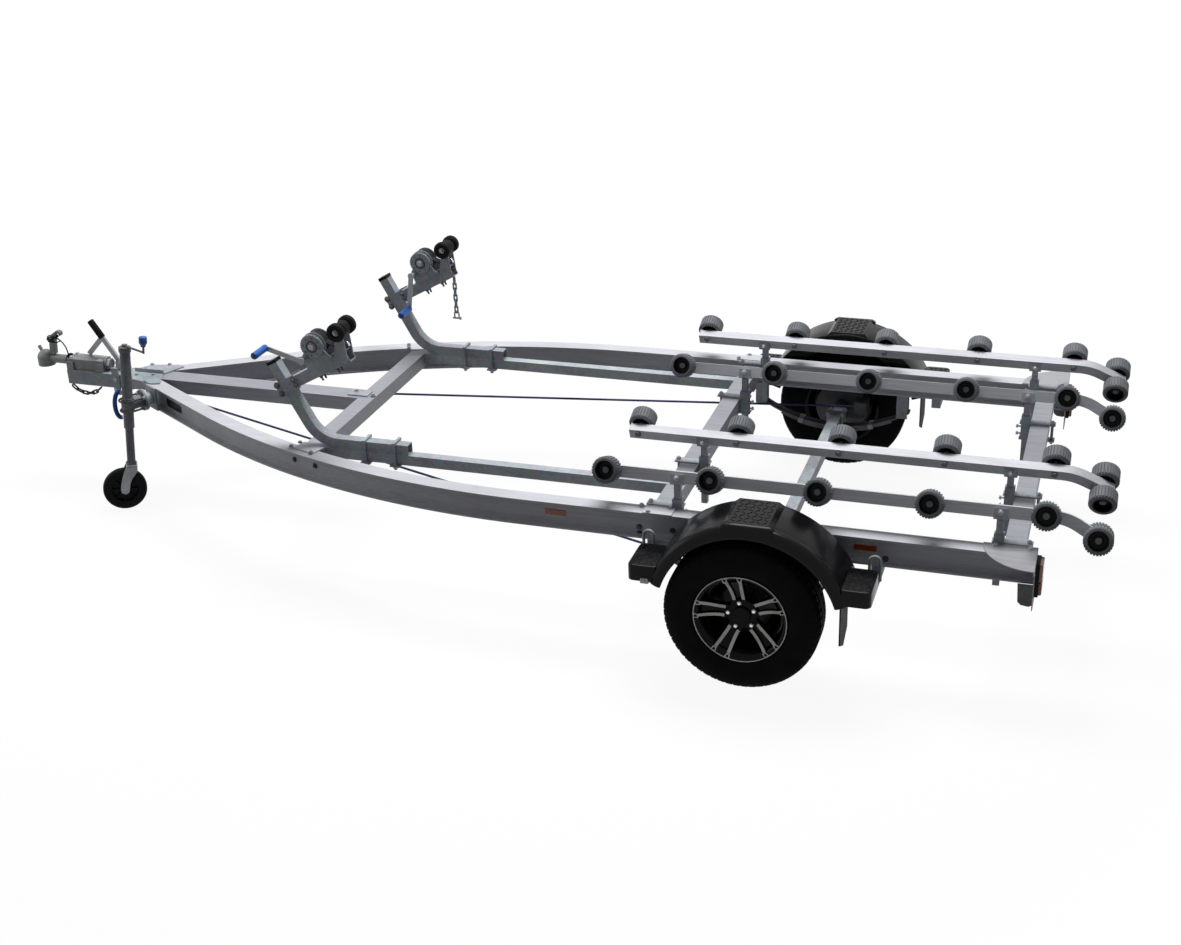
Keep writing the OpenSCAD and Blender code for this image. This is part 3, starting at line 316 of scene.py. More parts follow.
class Piece:
    """Gathers meshes with their materials, then becomes one object that rides on a body."""

    def __init__(self):
        self.points, self.faces, self.kinds, self.slots = [], [], [], []

    def add(self, shape, material, place=Matrix.Identity(4)):
        points, faces = shape
        if material not in self.slots:
            self.slots.append(material)
        start, kind = len(self.points), self.slots.index(material)
        world = ROOT @ place
        self.points += [world @ Vector(p) for p in points]
        self.faces += [[start + i for i in face] for face in faces]
        self.kinds += [kind] * len(faces)
        return self

    def finish(self, name, body, slot, bevel=0.0, sharp=38, stands_for=()):
        mesh = bpy.data.meshes.new(name)
        mesh.from_pydata(self.points, [], self.faces)
        for material in self.slots:
            mesh.materials.append(FINISHES[material])
        mesh.polygons.foreach_set("material_index", self.kinds)
        work = bmesh.new()
        work.from_mesh(mesh)
        bmesh.ops.recalc_face_normals(work, faces=work.faces)
        work.to_mesh(mesh)
        work.free()
        mesh.polygons.foreach_set("use_smooth", [True] * len(mesh.polygons))
        mesh.set_sharp_from_angle(angle=math.radians(sharp))
        obj = bpy.data.objects.new(name, mesh)
        bpy.context.scene.collection.objects.link(obj)
        if bevel:
            round_edges(obj, bevel)
        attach(obj, body)
        if stands_for:
            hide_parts(*stands_for)
        return obj


def skin(loops, closed=True):
    """Joins loops with equal numbers of points by quads; when closed, the last loop meets the first."""
    n, count = len(loops[0]), len(loops)
    faces = []
    for k in range(count if closed else count - 1):
        here, there = k * n, (k + 1) % count * n
        faces += [(here + i, here + (i + 1) % n, there + (i + 1) % n, there + i) for i in range(n)]
    return [point for loop in loops for point in loop], faces


def loft(loops):
    """Joins loops into one body with capped ends."""
    points, faces = skin(loops, closed=False)
    n, count = len(loops[0]), len(points)
    return points, faces + [list(range(n)), list(range(count - n, count))]


def level(outline, z):
    return [(x, y, z) for x, y in outline]


def stack(layers):
    """Joins level outlines, each given with its height."""
    return loft([level(outline, z) for outline, z in layers])


def prism(outline, low, high):
    """An outline in X and Y, raised from low to high along Z."""
    return stack([(outline, low), (outline, high)])


def sleeve(outer, inner, low, high):
    """A prism with a hole; both outlines have equal numbers of points."""
    return skin([level(outer, low), level(outer, high), level(inner, high), level(inner, low)])


def ring(r, sides=6):
    return [(r * cos_of(360 * i / sides), r * sin_of(360 * i / sides)) for i in range(sides)]


def lathe(profile, segments=48):
    """A closed profile of (radius, height) pairs, turned about Z."""
    return skin([level(ring(r, segments), height) for r, height in profile])


def solid_of(profile, segments=48):
    """A turned solid: (radius, height) pairs from one capped end to the other."""
    return stack([(ring(r, segments), height) for r, height in profile])


def round_bar(r, low, high, segments):
    return prism(ring(r, segments), low, high)


def slab(x, y, z):
    """A box about the origin."""
    return prism([(-x / 2, -y / 2), (x / 2, -y / 2), (x / 2, y / 2), (-x / 2, y / 2)], -z / 2, z / 2)


def arc(centre, r, start, end, steps):
    """Points of an arc in a plane."""
    return [(centre[0] + r * cos_of(start + (end - start) * i / steps),
             centre[1] + r * sin_of(start + (end - start) * i / steps)) for i in range(steps + 1)]


def rounded(x, y, r, steps=5):
    """The outline of a rectangle with round corners, about the origin."""
    across, up = x / 2 - r, y / 2 - r
    corners = ((across, up, 0), (-across, up, 90), (-across, -up, 180), (across, -up, 270))
    return [point for cx, cy, start in corners for point in arc((cx, cy), r, start, start + 90, steps)]


def pillow(x, y, r, low, high, soft_edge):
    """A block with round corners and a rounded upper edge."""
    layers = [(rounded(x, y, r), low)]
    for a in (0, 30, 60, 90):
        inset = soft_edge * (1 - cos_of(a))
        outline = rounded(x - 2 * inset, y - 2 * inset, max(r - inset, 0.5))
        layers.append((outline, high - soft_edge * (1 - sin_of(a))))
    return stack(layers)


def tube(path, r, sides=10, closed=False):
    """A round tube along a path of points."""
    line = [Vector(p) for p in path]
    last = len(line) - 1
    loops, normal = [], None
    for i, p in enumerate(line):
        before = line[i - 1] if closed or i else p
        after = line[(i + 1) % len(line)] if closed or i < last else p
        along = (after - before).normalized()
        normal = along.orthogonal() if normal is None else normal - along * normal.dot(along)
        normal = normal.normalized()
        side = along.cross(normal)
        loops.append([p + x * normal + y * side for x, y in ring(r, sides)])
    return skin(loops) if closed else loft(loops)


# Bolts and nuts: corner radius and height of the hexagon, with chamfer and thread in proportion
BOLTS = dict(
    tiny=(6, 4), sleeve=(7.5, 6.5), small=(8, 6), rod=(8, 7), saddle=(8.5, 6.5), flat=(9, 2.4),
    medium=(9, 7), tall=(9, 8), large=(10, 8), nut=(10, 9), heavy=(11, 9))
WASHER_T, WASHER_SHARE = 1.6, 1.35
CHAMFER_FROM, CHAMFER_SHARE, THREAD_SHARE, TIP_SHARE = 0.75, 0.85, 0.55, 0.45


def add_bolt(piece, place, size="medium", shank=0.0, material="zinc_plate"):
    """A hexagon on a washer, standing on Z = 0 of its place, with a thread end past it."""
    r, head = BOLTS[size]
    washer, thread, top = WASHER_SHARE * r, THREAD_SHARE * r, WASHER_T + head
    piece.add(round_bar(washer, 0, WASHER_T, 24), material, place)
    layers = [(ring(r), WASHER_T), (ring(r), WASHER_T + CHAMFER_FROM * head), (ring(CHAMFER_SHARE * r), top)]
    piece.add(stack(layers), material, place)
    if shank:
        end = [(thread, WASHER_T), (thread, top + shank - 1), (TIP_SHARE * r, top + shank)]
        piece.add(solid_of(end, 16), material, place)


# The breakaway cable: its knots in metres from the middle of the tow ball
HEAD_X, SHAFT_Z = 3690.0, 596.0
CABLE_KNOTS = [
    (-0.150, 0.030, 0.020), (-0.152, 0.032, 0.050), (-0.146, 0.035, 0.080), (-0.130, 0.036, 0.104),
    (-0.108, 0.034, 0.116), (-0.086, 0.028, 0.114), (-0.070, 0.020, 0.102), (-0.062, 0.015, 0.088)]
CABLE_R, CABLE_STEPS = 0.003, 4


def smooth_line(knots, steps):
    """Points of a Catmull-Rom curve through the knots."""
    line, last = [], len(knots) - 1
    for i in range(last):
        a, b, c, d = (Vector(knots[min(max(i + k, 0), last)]) for k in (-1, 0, 1, 2))
        square, cube = 2 * a - 5 * b + 4 * c - d, 3 * b - a - 3 * c + d
        for t in (k / steps for k in range(steps)):
            line.append(0.5 * (2 * b + (c - a) * t + square * t ** 2 + cube * t ** 3))
    return line + [Vector(knots[-1])]


def make_cable():
    head = Vector((AXLE_X + HEAD_X * MM, 0, SHAFT_Z * MM))
    path = [head + p for p in smooth_line(CABLE_KNOTS, CABLE_STEPS)]
    back = ROOT.inverted()
    cable = Piece().add(tube([back @ p for p in path], CABLE_R / MM, 12), "black_rubber")
    piece = cable.finish("breakaway_cord", "frame", "black_rubber", stands_for=["breakaway_cable"])


make_cable()


# Rollers on the four beams
CRADLE_Y, BEAM_OFF, BEAM_Z, BEAM_ROLL, BEAM_H = 556.0, 192.0, 680.0, 21.0, 45.0
CRADLES = dict(left=CRADLE_Y, right=-CRADLE_Y)
ROLLER_XS = [594.0 - 409.0 * i for i in range(5)]
ROLLER_R, ROLLER_W, ROLLER_SIDE, PIN_UP = 53.0, 66.0, 28.0, 5.0
TAIL_A, TAIL_R, TAIL_PIN = 29.0, 180.0, 82.0
TAIL_START = ROLLER_XS[-1] - 25.0
RIBS, RIB_FLANK, GROOVE, GROOVE_DEPTH = 28, 0.07, 0.26, 4.2
ROLLER_END = [(0, 6.5), (0.6, 5.4), (6, 0)]  # distance from the end, cut off the radius
DISH_R, HUB_BORE, BOSS_R = 0.70 * ROLLER_R, 8.6, 16.0


def beam_place(cradle, side):
    return move(0, cradle, 0) @ flip_y(side) @ move(0, BEAM_OFF, BEAM_Z) @ turn(BEAM_ROLL, "X")


def tail_place():
    start = move(TAIL_START - TAIL_R * sin_of(TAIL_A), 0, -TAIL_R * (1 - cos_of(TAIL_A)))
    return start @ turn(-TAIL_A, "Y")


def ribbed_roller():
    """The grey rubber of one roller about Z: ribs along it and a flat ring at each end."""
    stations = ROLLER_END + [(ROLLER_W - z, cut) for z, cut in reversed(ROLLER_END)]
    rib = (0, RIB_FLANK, 1 - RIB_FLANK - GROOVE, 1 - GROOVE)
    angles = [360 * (k + share) / RIBS for k in range(RIBS) for share in rib]
    loops = []
    for z, cut in stations:
        top, groove = ROLLER_R - cut, ROLLER_R - max(cut, GROOVE_DEPTH)
        loops.append([polar(groove if i % 4 in (0, 3) else top, a, z) for i, a in enumerate(angles)])
    loops += [[polar(DISH_R, a, z) for a in angles] for z in (ROLLER_W, 0)]
    return skin(loops)


def roller_hub():
    """The black plastic hub: a deep dish at both ends with a web and a boss round the pin."""
    wall, mouth = DISH_R - 6, DISH_R - 3.5
    low, high, lip = 20.0, ROLLER_W - 26.0, ROLLER_W - 0.4
    back = [(HUB_BORE, low - 8), (BOSS_R - 1, low - 8), (BOSS_R, low), (wall, low)]
    edges = [(mouth, 1.0), (DISH_R, 0.4), (DISH_R, lip), (mouth, lip - 0.6)]
    front = [(wall, high), (BOSS_R + 2, high), (BOSS_R, high + 6), (HUB_BORE, high + 6)]
    return lathe(back + edges + front, 40)


def make_rollers():
    ribs, hub = ribbed_roller(), roller_hub()
    for name, cradle in CRADLES.items():
        piece = Piece()
        for side in BOTH:
            beam = beam_place(cradle, side)
            places = [beam @ move(x, ROLLER_SIDE, PIN_UP) for x in ROLLER_XS]
            tail = beam @ tail_place() @ move(-TAIL_PIN, 0, 0)
            places += [tail @ flip_y(half) @ move(0, ROLLER_SIDE, 0) for half in BOTH]
            for place in places:
                piece.add(ribs, "grey_rubber", place @ turn(-90, "X"))
                piece.add(hub, "black_plastic", place @ turn(-90, "X"))
        piece.finish(name + "_rollers_ribbed", "frame", "grey_rubber", stands_for=[name + "_rollers"])


make_rollers()


# Bolts of the beams' saddles, and of the clamps that hold the uprights to the cross members
RAIL_TOP, PLATE_T, CROSS_H = 562.0, 6.0, 65.0
SADDLE_SIDE, SADDLE_BOLT_Z = 31.3, -2.0
UPRIGHT_XS, CLAMP_ROD_XS = (325.0, -882.0), (433.5, -990.5)
UPRIGHT_Y = BEAM_OFF + (BEAM_H / 2 + 0.3 + PLATE_T) * sin_of(BEAM_ROLL)
SLEEVE_HALF, SCREW_DEPTHS = 18.8, (18.0, 50.0)
SCREW_R, SCREW_LEN, SCREW_NUT = 4.0, 16.0, 12.0


def make_beam_bolts():
    piece = Piece()
    clamp_low = RAIL_TOP - CROSS_H - PLATE_T
    for cradle in CRADLES.values():
        for side in BOTH:
            beam = beam_place(cradle, side)
            for x in UPRIGHT_XS:
                for half in BOTH:
                    face = beam @ flip_y(half) @ move(x, SADDLE_SIDE, SADDLE_BOLT_Z)
                    add_bolt(piece, face @ OUTWARD, "saddle", shank=4)
            foot = move(0, cradle, 0) @ flip_y(side) @ move(0, UPRIGHT_Y, 0)
            for rod_x, x in zip(CLAMP_ROD_XS, UPRIGHT_XS):
                away = 1 if x < 0 else -1
                add_bolt(piece, foot @ move(rod_x, 0, RAIL_TOP + PLATE_T), "large")
                add_bolt(piece, foot @ move(rod_x, 0, clamp_low) @ DOWNWARD, "large")
                for depth in SCREW_DEPTHS:
                    screw = foot @ move(x + away * SLEEVE_HALF, 0, RAIL_TOP - depth) @ facing((away, 0, 0))
                    piece.add(round_bar(SCREW_R, 0, SCREW_LEN, 14), "zinc_plate", screw)
                    add_bolt(piece, screw @ move(0, 0, SCREW_NUT), "sleeve")
    piece.finish("beam_bolts", "frame", "zinc_plate", bevel=0.4)


make_beam_bolts()


# Bolts of the frame, on its left half: places in X and Y on plates, in X and Z on the rail's web
TIP_X, WEB_Y, HALF_WEB, LAMP_PLATE_T = 3178.3, 816.0, 3.0, 4.0
PLATE_BOLTS = [
    (TIP_X - 10, 40), (TIP_X - 12, 94), (TIP_X - 96, 112), (TIP_X - 88, 22), (2038, 572), (2058, 616),
    (1946, 655), (460, 796), (345, 796), (420, 846)]
LAMP_PLATE_BOLTS = [(-874, 797), (-998, 797)]
WEB_BOLTS = [(464, 485), (464, 458), (331, 485), (-300, 470), (-484, 470)]
BEND_BOLTS = [(2044, 512), (1928, 512)]
DRAWBAR_BOLTS = [(1956, 16), (2052, -14)]
BEND_X, BEND_R = 930.0, 3265.0
BEND_CY = WEB_Y - BEND_R


def bend_place(x, z):
    """A place on the outer face of the web, where the rail bends."""
    across = math.sqrt(BEND_R ** 2 - (x - BEND_X) ** 2)
    out = Vector((x - BEND_X, across, 0)) / BEND_R
    return move(x, BEND_CY + across, z) @ move(*(HALF_WEB * out)) @ facing(out)


def make_frame_bolts():
    piece = Piece()
    for side in BOTH:
        half = flip_y(side)
        for x, y in PLATE_BOLTS:
            add_bolt(piece, half @ move(x, y, RAIL_TOP + PLATE_T), "small", material="galvanised")
        for x, y in LAMP_PLATE_BOLTS:
            add_bolt(piece, half @ move(x, y, RAIL_TOP + LAMP_PLATE_T))
        for x, z in WEB_BOLTS:
            add_bolt(piece, half @ move(x, WEB_Y + HALF_WEB, z) @ OUTWARD, material="dark_steel")
        for x, z in BEND_BOLTS:
            add_bolt(piece, half @ bend_place(x, z), material="dark_steel")
    for x, y in DRAWBAR_BOLTS:
        add_bolt(piece, move(x, y, RAIL_TOP + PLATE_T), material="galvanised")
    piece.finish("frame_bolts", "frame", "zinc_plate", bevel=0.4)


make_frame_bolts()


# A dark blank plate on the left web, by the nose
NOSE_A = 31.0
BEND_END = (BEND_X + BEND_R * sin_of(NOSE_A), BEND_CY + BEND_R * cos_of(NOSE_A))
BLANK_ALONG, BLANK_Z, BLANK_LEN, BLANK_H, BLANK_T, RIVET_IN = 325.0, 495.0, 140.0, 40.0, 1.0, 5.0


def nose_place(along, out, z):
    """A place beside the straight nose of the left rail: X along the rail, Y out of its web."""
    return move(BEND_END[0], BEND_END[1], z) @ turn(-NOSE_A, "Z") @ move(along, out, 0)


def make_blank_plate():
    place = nose_place(BLANK_ALONG, HALF_WEB, BLANK_Z) @ OUTWARD
    piece = Piece()
    piece.add(prism(rounded(BLANK_LEN, BLANK_H, 3), 0, BLANK_T), "black_plastic", place)
    for x in BOTH:
        for y in BOTH:
            rivet = place @ move(x * (BLANK_LEN / 2 - RIVET_IN), y * (BLANK_H / 2 - RIVET_IN), BLANK_T)
            piece.add(solid_of([(2.6, 0), (2.4, 1.0), (1.2, 1.6)], 12), "zinc_plate", rivet)
    piece.finish("blank_plate", "frame", "black_plastic")


make_blank_plate()


# Coupling: latch lever with its cable loops, then the bolts, nut and collar of the housing
BASE_FRONT, BASE_REAR, HOUSING_LEN, HOUSING_TOP = 3548.0, TIP_X + 12, 195.0, 616.0
HOUSING_REAR = BASE_FRONT - HOUSING_LEN
LATCH_FOOT, LATCH_HALF = (HEAD_X - 50, 0, SHAFT_Z + 24.5), 13.0
LATCH = [
    (-14, 0), (16, 0), (13, 40), (8, 82), (0, 95), (-36, 120), (-52, 121), (-61, 112), (-60, 97), (-53, 97),
    (-50, 107), (-42, 108), (-22, 92), (-20, 60)]
LATCH_PIN, LATCH_PIN_R, LATCH_PIN_HALF = (-6, 0, 78), 7.0, 18.0
LOOPS = ((14, 80, 28), (-14, 70, 31), (4, 88, 26), (32, 76, 29))  # lean, height, radius
LOOP_X, LOOP_R = -8.0, 2.8
HOUSING_BOLTS = ((HOUSING_REAR + 20, "flat"), (BASE_FRONT - 20, "tall"))
HOUSING_BOLT_Y, BASE_BOLT_X, BASE_SIDE, BASE_BOLT_ZS = 26.0, BASE_REAR + 87, 58.0, (540, 488)
SHAFT_NUT_R, SHAFT_NUT_BORE, SHAFT_NUT_T, SHAFT_NUT_BACK = 26.0, 22.0, 14.0, 27.0
COLLAR = [(22.6, 0), (31, 0), (32, 3), (32, 9), (29, 13), (22.6, 14)]


def make_latch():
    foot = move(*LATCH_FOOT)
    pin = round_bar(LATCH_PIN_R, -LATCH_PIN_HALF, LATCH_PIN_HALF, 20)
    lever = Piece()
    lever.add(prism(LATCH, -LATCH_HALF, LATCH_HALF), "cast_zinc", foot @ ALONG_Y)
    lever.add(pin, "zinc_plate", foot @ move(*LATCH_PIN) @ ALONG_Y)
    lever.finish("latch_lever", "frame", "cast_zinc", bevel=3.0, stands_for=["coupling_latch"])
    loops = Piece()
    for lean, z, r in LOOPS:
        oval = [(x, 0.8 * y, 0) for x, y in ring(r, 24)]
        place = foot @ move(LOOP_X, 0, z) @ turn(lean, "Y")
        loops.add(tube(oval, LOOP_R, 8, closed=True), "black_rubber", place)
    loops.finish("latch_loops", "frame", "black_rubber")


def make_coupling_bolts():
    piece = Piece()
    for x, size in HOUSING_BOLTS:
        for side in BOTH:
            add_bolt(piece, move(x, side * HOUSING_BOLT_Y, HOUSING_TOP), size)
    shaft = move(0, 0, SHAFT_Z) @ FORWARD
    nut = sleeve(ring(SHAFT_NUT_R), ring(SHAFT_NUT_BORE), 0, SHAFT_NUT_T)
    piece.add(nut, "zinc_plate", shaft @ move(0, 0, HOUSING_REAR - SHAFT_NUT_BACK))
    piece.add(lathe(COLLAR, 40), "black_rubber", shaft @ move(0, 0, BASE_FRONT))
    for side in BOTH:
        for z in BASE_BOLT_ZS:
            add_bolt(piece, flip_y(side) @ move(BASE_BOLT_X, BASE_SIDE, z) @ OUTWARD, "large")
    piece.finish("coupling_bolts", "frame", "zinc_plate", bevel=0.5)


make_latch()
make_coupling_bolts()


# Brake lever's grip
LEVER_AT, LEVER_A, LEVER_LEN = (BASE_REAR + 94, -18, RAIL_TOP + 28), 57.0, 245.0
LEVER_GRIP, LEVER_RIBS, LEVER_PITCH, LEVER_R = 94.0, 10, 8.5, 16.0


def make_lever_grip():
    place = move(*LEVER_AT) @ turn(-LEVER_A, "Y") @ move(LEVER_LEN - LEVER_GRIP, 0, 0) @ FORWARD
    rib = [(0.4, 4), (0.4, 9), (-0.4, 10), (-0.4, 11.5)]
    profile = [(12, 0), (LEVER_R, 1)]
    for i in range(LEVER_RIBS):
        profile += [(LEVER_R + rise, z + LEVER_PITCH * i) for rise, z in rib]
    profile += [(LEVER_R, LEVER_GRIP), (13, LEVER_GRIP + 4), (6, LEVER_GRIP + 5)]
    grip = Piece().add(solid_of(profile, 32), "black_rubber", place)
    grip.finish("lever_grip", "frame", "black_rubber")


make_lever_grip()


# Nose wheel stand: knob, pull ring and clamp rods on its tube, then the fork and the wheel
STAND_ALONG, STAND_OFF, SWIVEL_Z, SWIVEL_Y = 470.05, 158.0, 507.0, 80.0
STAND_LEAN, FORK_TURN, STAND_UP, CRANK_LEN, CRANK_TURN = 6.0, 66.0, 255.0, 140.0, 190.0
NOSE_R, NOSE_W, NOSE_TRAIL, WHEEL_DROP = 100.0, 46.0, 35.0, 412.223
STAND = nose_place(STAND_ALONG, HALF_WEB, 0)
UPRIGHT_TUBE = STAND @ move(0, STAND_OFF, SWIVEL_Z)
LEANING = UPRIGHT_TUBE @ turn(STAND_LEAN, "X")
FORK = LEANING @ turn(FORK_TURN, "Z") @ move(0, 0, -WHEEL_DROP)
AT_KNOB = LEANING @ move(0, 0, STAND_UP + 20) @ turn(CRANK_TURN, "Z") @ move(CRANK_LEN, 0, 0)
KNOB = [
    (7, 33), (11, 33.5), (12, 42), (16.6, 49), (18.4, 52), (18.8, 58), (18.8, 74), (17.6, 79), (15, 81.4),
    (9, 82), (2, 82)]
PULL_X, PULL_WIDE, PULL_HIGH, PULL_R, PULL_TURN = 34.0, 26.0, 64.0, 10.5, 50.0
ROD_BOW, ROD_R, ROD_ZS, ROD_FOOT = 36.0, 5.0, (24, -26), SWIVEL_Y + 9


def make_stand_parts():
    knob = Piece().add(solid_of(KNOB, 12), "blue_plastic", AT_KNOB)
    knob.finish("crank_knob", "stand", "black_plastic", bevel=1.5)
    pull = Piece()
    line = [(PULL_X + PULL_WIDE * cos_of(a), 0, PULL_HIGH * sin_of(a)) for a in range(-100, 101, 10)]
    pull.add(tube(line, PULL_R, 16), "blue_plastic", LEANING @ turn(PULL_TURN, "Z"))
    pull.finish("pull_ring", "stand", "black_plastic")
    rods = Piece()
    back = ROD_FOOT - STAND_OFF
    for z in ROD_ZS:
        bow = [(ROD_BOW, back)] + arc((0, 0), ROD_BOW, 0, 180, 12) + [(-ROD_BOW, back)]
        rods.add(tube([(x, y, z) for x, y in bow], ROD_R, 12), "dark_steel", UPRIGHT_TUBE)
        for side in BOTH:
            add_bolt(rods, STAND @ move(side * ROD_BOW, ROD_FOOT, SWIVEL_Z + z) @ OUTWARD, "rod")
    rods.finish("tube_clamp_rods", "stand", "galvanised")


FORK_TOP, FORK_T, FORK_IN = NOSE_R + 20, 5.0, NOSE_W / 2 + 5
FORK_EYE_R, NOSE_AXLE_R = 20.0, 7.8
NOSE_RIBS, NOSE_RIB, NOSE_RIB_R, NOSE_RIB_Z = 8, (40, 5, 14), 42.0, 9.0
STANDING = ALONG_Y @ Matrix.Diagonal((1, 1, -1, 1))  # an outline's Y points up, and its height runs along Y


def fork_outline():
    """One side plate, with X along the trail and Z up from the wheel's axle: a horn from head to axle."""
    head = [(-25, FORK_TOP - 6), (-20, FORK_TOP), (20, FORK_TOP), (25, FORK_TOP - 6)]
    front = [(36, FORK_TOP - 30), (46, 60), (54, 22)]
    eye = arc((NOSE_TRAIL, 0), FORK_EYE_R, 10, -185, 12)
    back = [(NOSE_TRAIL - x, z) for x, z in ((20, 2), (24, 30), (34, 56), (50, 76))]
    return head + front + eye + back + [(-25, 92)]


def make_fork():
    piece = Piece()
    side_plate = prism(fork_outline(), FORK_IN, FORK_IN + FORK_T)
    for side in BOTH:
        half = FORK @ flip_y(side)
        piece.add(side_plate, "zinc_plate", half @ STANDING)
        add_bolt(piece, half @ move(NOSE_TRAIL, FORK_IN + FORK_T, 0) @ OUTWARD, "heavy", shank=4)
    head = pillow(52, NOSE_W + 20, r=4, low=FORK_TOP - 10, high=FORK_TOP, soft_edge=4)
    piece.add(head, "zinc_plate", FORK)
    axle = round_bar(NOSE_AXLE_R, -FORK_IN - 4, FORK_IN + 4, 20)
    piece.add(axle, "zinc_plate", FORK @ move(NOSE_TRAIL, 0, 0) @ ALONG_Y)
    piece.finish("fork_bent", "caster", "zinc_plate", bevel=0.8, stands_for=["stand_fork"])


def mirrored(section):
    """A closed profile from its upper half."""
    return section + [(r, -h) for r, h in reversed(section)]


def make_nose_wheel():
    piece = Piece()
    place = FORK @ move(NOSE_TRAIL, 0, 0) @ ALONG_Y
    half = NOSE_W / 2
    shoulder = arc((NOSE_R - 17, half - 18), 17.6, 75, 20, 5)
    tread = [(66, half - 3), (72, half - 1)] + shoulder + [(NOSE_R - 0.4, half - 13), (NOSE_R, half - 14)]
    rim = [(66, half - 4), (66, 4 - half), (61, 4 - half), (60, -6), (60, 6), (61, half - 4)]
    hub = [(8.1, half - 0.5), (20, half - 0.5), (22, half - 4), (23, 6), (61, 4)]
    piece.add(lathe(mirrored(tread), 64), "black_rubber", place)
    piece.add(lathe(rim, 64), "black_plastic", place)
    piece.add(lathe(mirrored(hub), 48), "black_plastic", place)
    for k in range(NOSE_RIBS):
        for side in BOTH:
            rib = place @ turn(360 / NOSE_RIBS * k, "Z") @ move(NOSE_RIB_R, 0, side * NOSE_RIB_Z)
            piece.add(slab(*NOSE_RIB), "black_plastic", rib)
    piece.finish("nose_wheel_spoked", "nose_wheel", "black_rubber", bevel=0.6, stands_for=["nose_wheel"])


make_stand_parts()
make_fork()
make_nose_wheel()


# Winches: S is a distance back along the arm, and N a height above it
POST_A, POST_RISE_FROM, ARM_UP = 62.0, (1854.0, 584.5, 150.0), 181.0
ARM_W, EAR_T, ARM_LEN, POST_W = 50.0, 6.0, 345.0, 45.0
DRUM_S, DRUM_N, DRUM_R, GEAR_R = 235.0, 103.0, 36.4, 52.0
SHAFT_S, SHAFT_N = DRUM_S - 55, DRUM_N - 30
CHEEK_Y, EAR_Y = ARM_W / 2 + 12, ARM_W / 2 + EAR_T
HANDLE_LEN, GRIP_LEN, HANDLE_Y = 165.0, 100.0, CHEEK_Y + EAR_T + 42
HANDLE_TURN = dict(left=16.0, right=-82.0)
GRIP = [
    (10, 2), (14.2, 2.4), (15.4, 5), (15.0, 12), (14.8, GRIP_LEN / 2), (15.0, GRIP_LEN - 10),
    (15.4, GRIP_LEN - 2), (14.2, GRIP_LEN + 1.5), (9, GRIP_LEN + 2.2)]
GRIP_PIN = [(7, GRIP_LEN), (7, GRIP_LEN + 3), (5, GRIP_LEN + 4.5)]
BOW_S, BOW_N, BOW_END = 372.0, 110.0, EAR_Y + 28
WOUND = [(DRUM_R, -24), (44, -24), (45, -20), (45, 20), (44, 24), (DRUM_R, 24)]
FLANGE = [(DRUM_R, 0), (GEAR_R + 1, 0), (GEAR_R + 2, 1.2), (GEAR_R + 1, 2.5), (DRUM_R, 2.5)]
FLANGE_AT, DIMPLES, DIMPLE_R, DIMPLE_IN = 26.0, 8, 3.2, 14.0
POST_NUT_X, POST_BOLT_X, POST_BOLT_Z = POST_W / 2 + 7, -POST_W / 2 - 32, 20.0
BASE_BOLT_S, BASE_BOLT_Y = (DRUM_S - 60, DRUM_S + 30), 14.0
HOOK_R, HOOK_BEND, HOOK_REACH = 5.0, 15.0, 26.0


def arm_place(cradle):
    """The arm's own frame: X forward and down along the arm, Z along the post."""
    x, z, r = POST_RISE_FROM
    end_x = x + r * sin_of(POST_A) + ARM_UP * cos_of(POST_A)
    end_z = z + r * (1 - cos_of(POST_A)) + ARM_UP * sin_of(POST_A)
    return move(end_x, cradle, end_z) @ turn(90 - POST_A, "Y")


def make_grip(name):
    shaft = arm_place(CRADLES[name]) @ move(-SHAFT_S, 0, SHAFT_N)
    crank = move(*shaft.translation) @ turn(-HANDLE_TURN[name], "Y")
    place = crank @ move(HANDLE_LEN, HANDLE_Y, 0) @ OUTWARD
    grip = Piece()
    grip.add(solid_of(GRIP, 32), "blue_plastic", place)
    grip.add(solid_of(GRIP_PIN, 20), "dark_steel", place)
    grip.finish(name + "_grip", name + "_handle", "black_plastic")


def make_bow_washers(name):
    axis = arm_place(CRADLES[name]) @ move(-BOW_S, 0, BOW_N)
    piece = Piece()
    for side in BOTH:
        end = axis @ flip_y(side) @ move(0, BOW_END, 0) @ OUTWARD
        piece.add(round_bar(13, -0.5, 1.5, 28), "zinc_plate", end)
        piece.add(stack([(ring(8), 1.5), (ring(8), 6), (ring(6.8), 7.5)]), "zinc_plate", end)
    piece.finish(name + "_bow_washers", name + "_bow_roller", "zinc_plate", bevel=0.4)


def make_drum(name):
    """The wound strap between two flanges, and the marks on the gear's face: a dark ring, and dark discs
    that paint the shade of its dimples.
    """
    centre = arm_place(CRADLES[name]) @ move(-DRUM_S, 0, DRUM_N)
    drum = centre @ ALONG_Y
    gear = centre @ move(0, CHEEK_Y + EAR_T + 10, 0) @ OUTWARD
    wound = Piece()
    wound.add(lathe(WOUND, 48), "webbing", drum)
    for side in BOTH:
        wound.add(lathe(FLANGE, 56), "zinc_plate", drum @ move(0, 0, side * FLANGE_AT - FLANGE[-1][1] / 2))
    # dark discs in place of the dimples: painted shade
    for k in range(DIMPLES):
        dimple = gear @ turn(360 / DIMPLES * k + 12, "Z") @ move(GEAR_R - DIMPLE_IN, 0, 0)
        wound.add(round_bar(DIMPLE_R, 0, 0.5, 12), "dark_steel", dimple)
    wound.add(lathe([(19, 0), (27, 0), (26, 1.5), (19.5, 1.5)], 32), "dark_steel", gear)
    wound.finish(name + "_winch_drum", "frame", "zinc_plate")


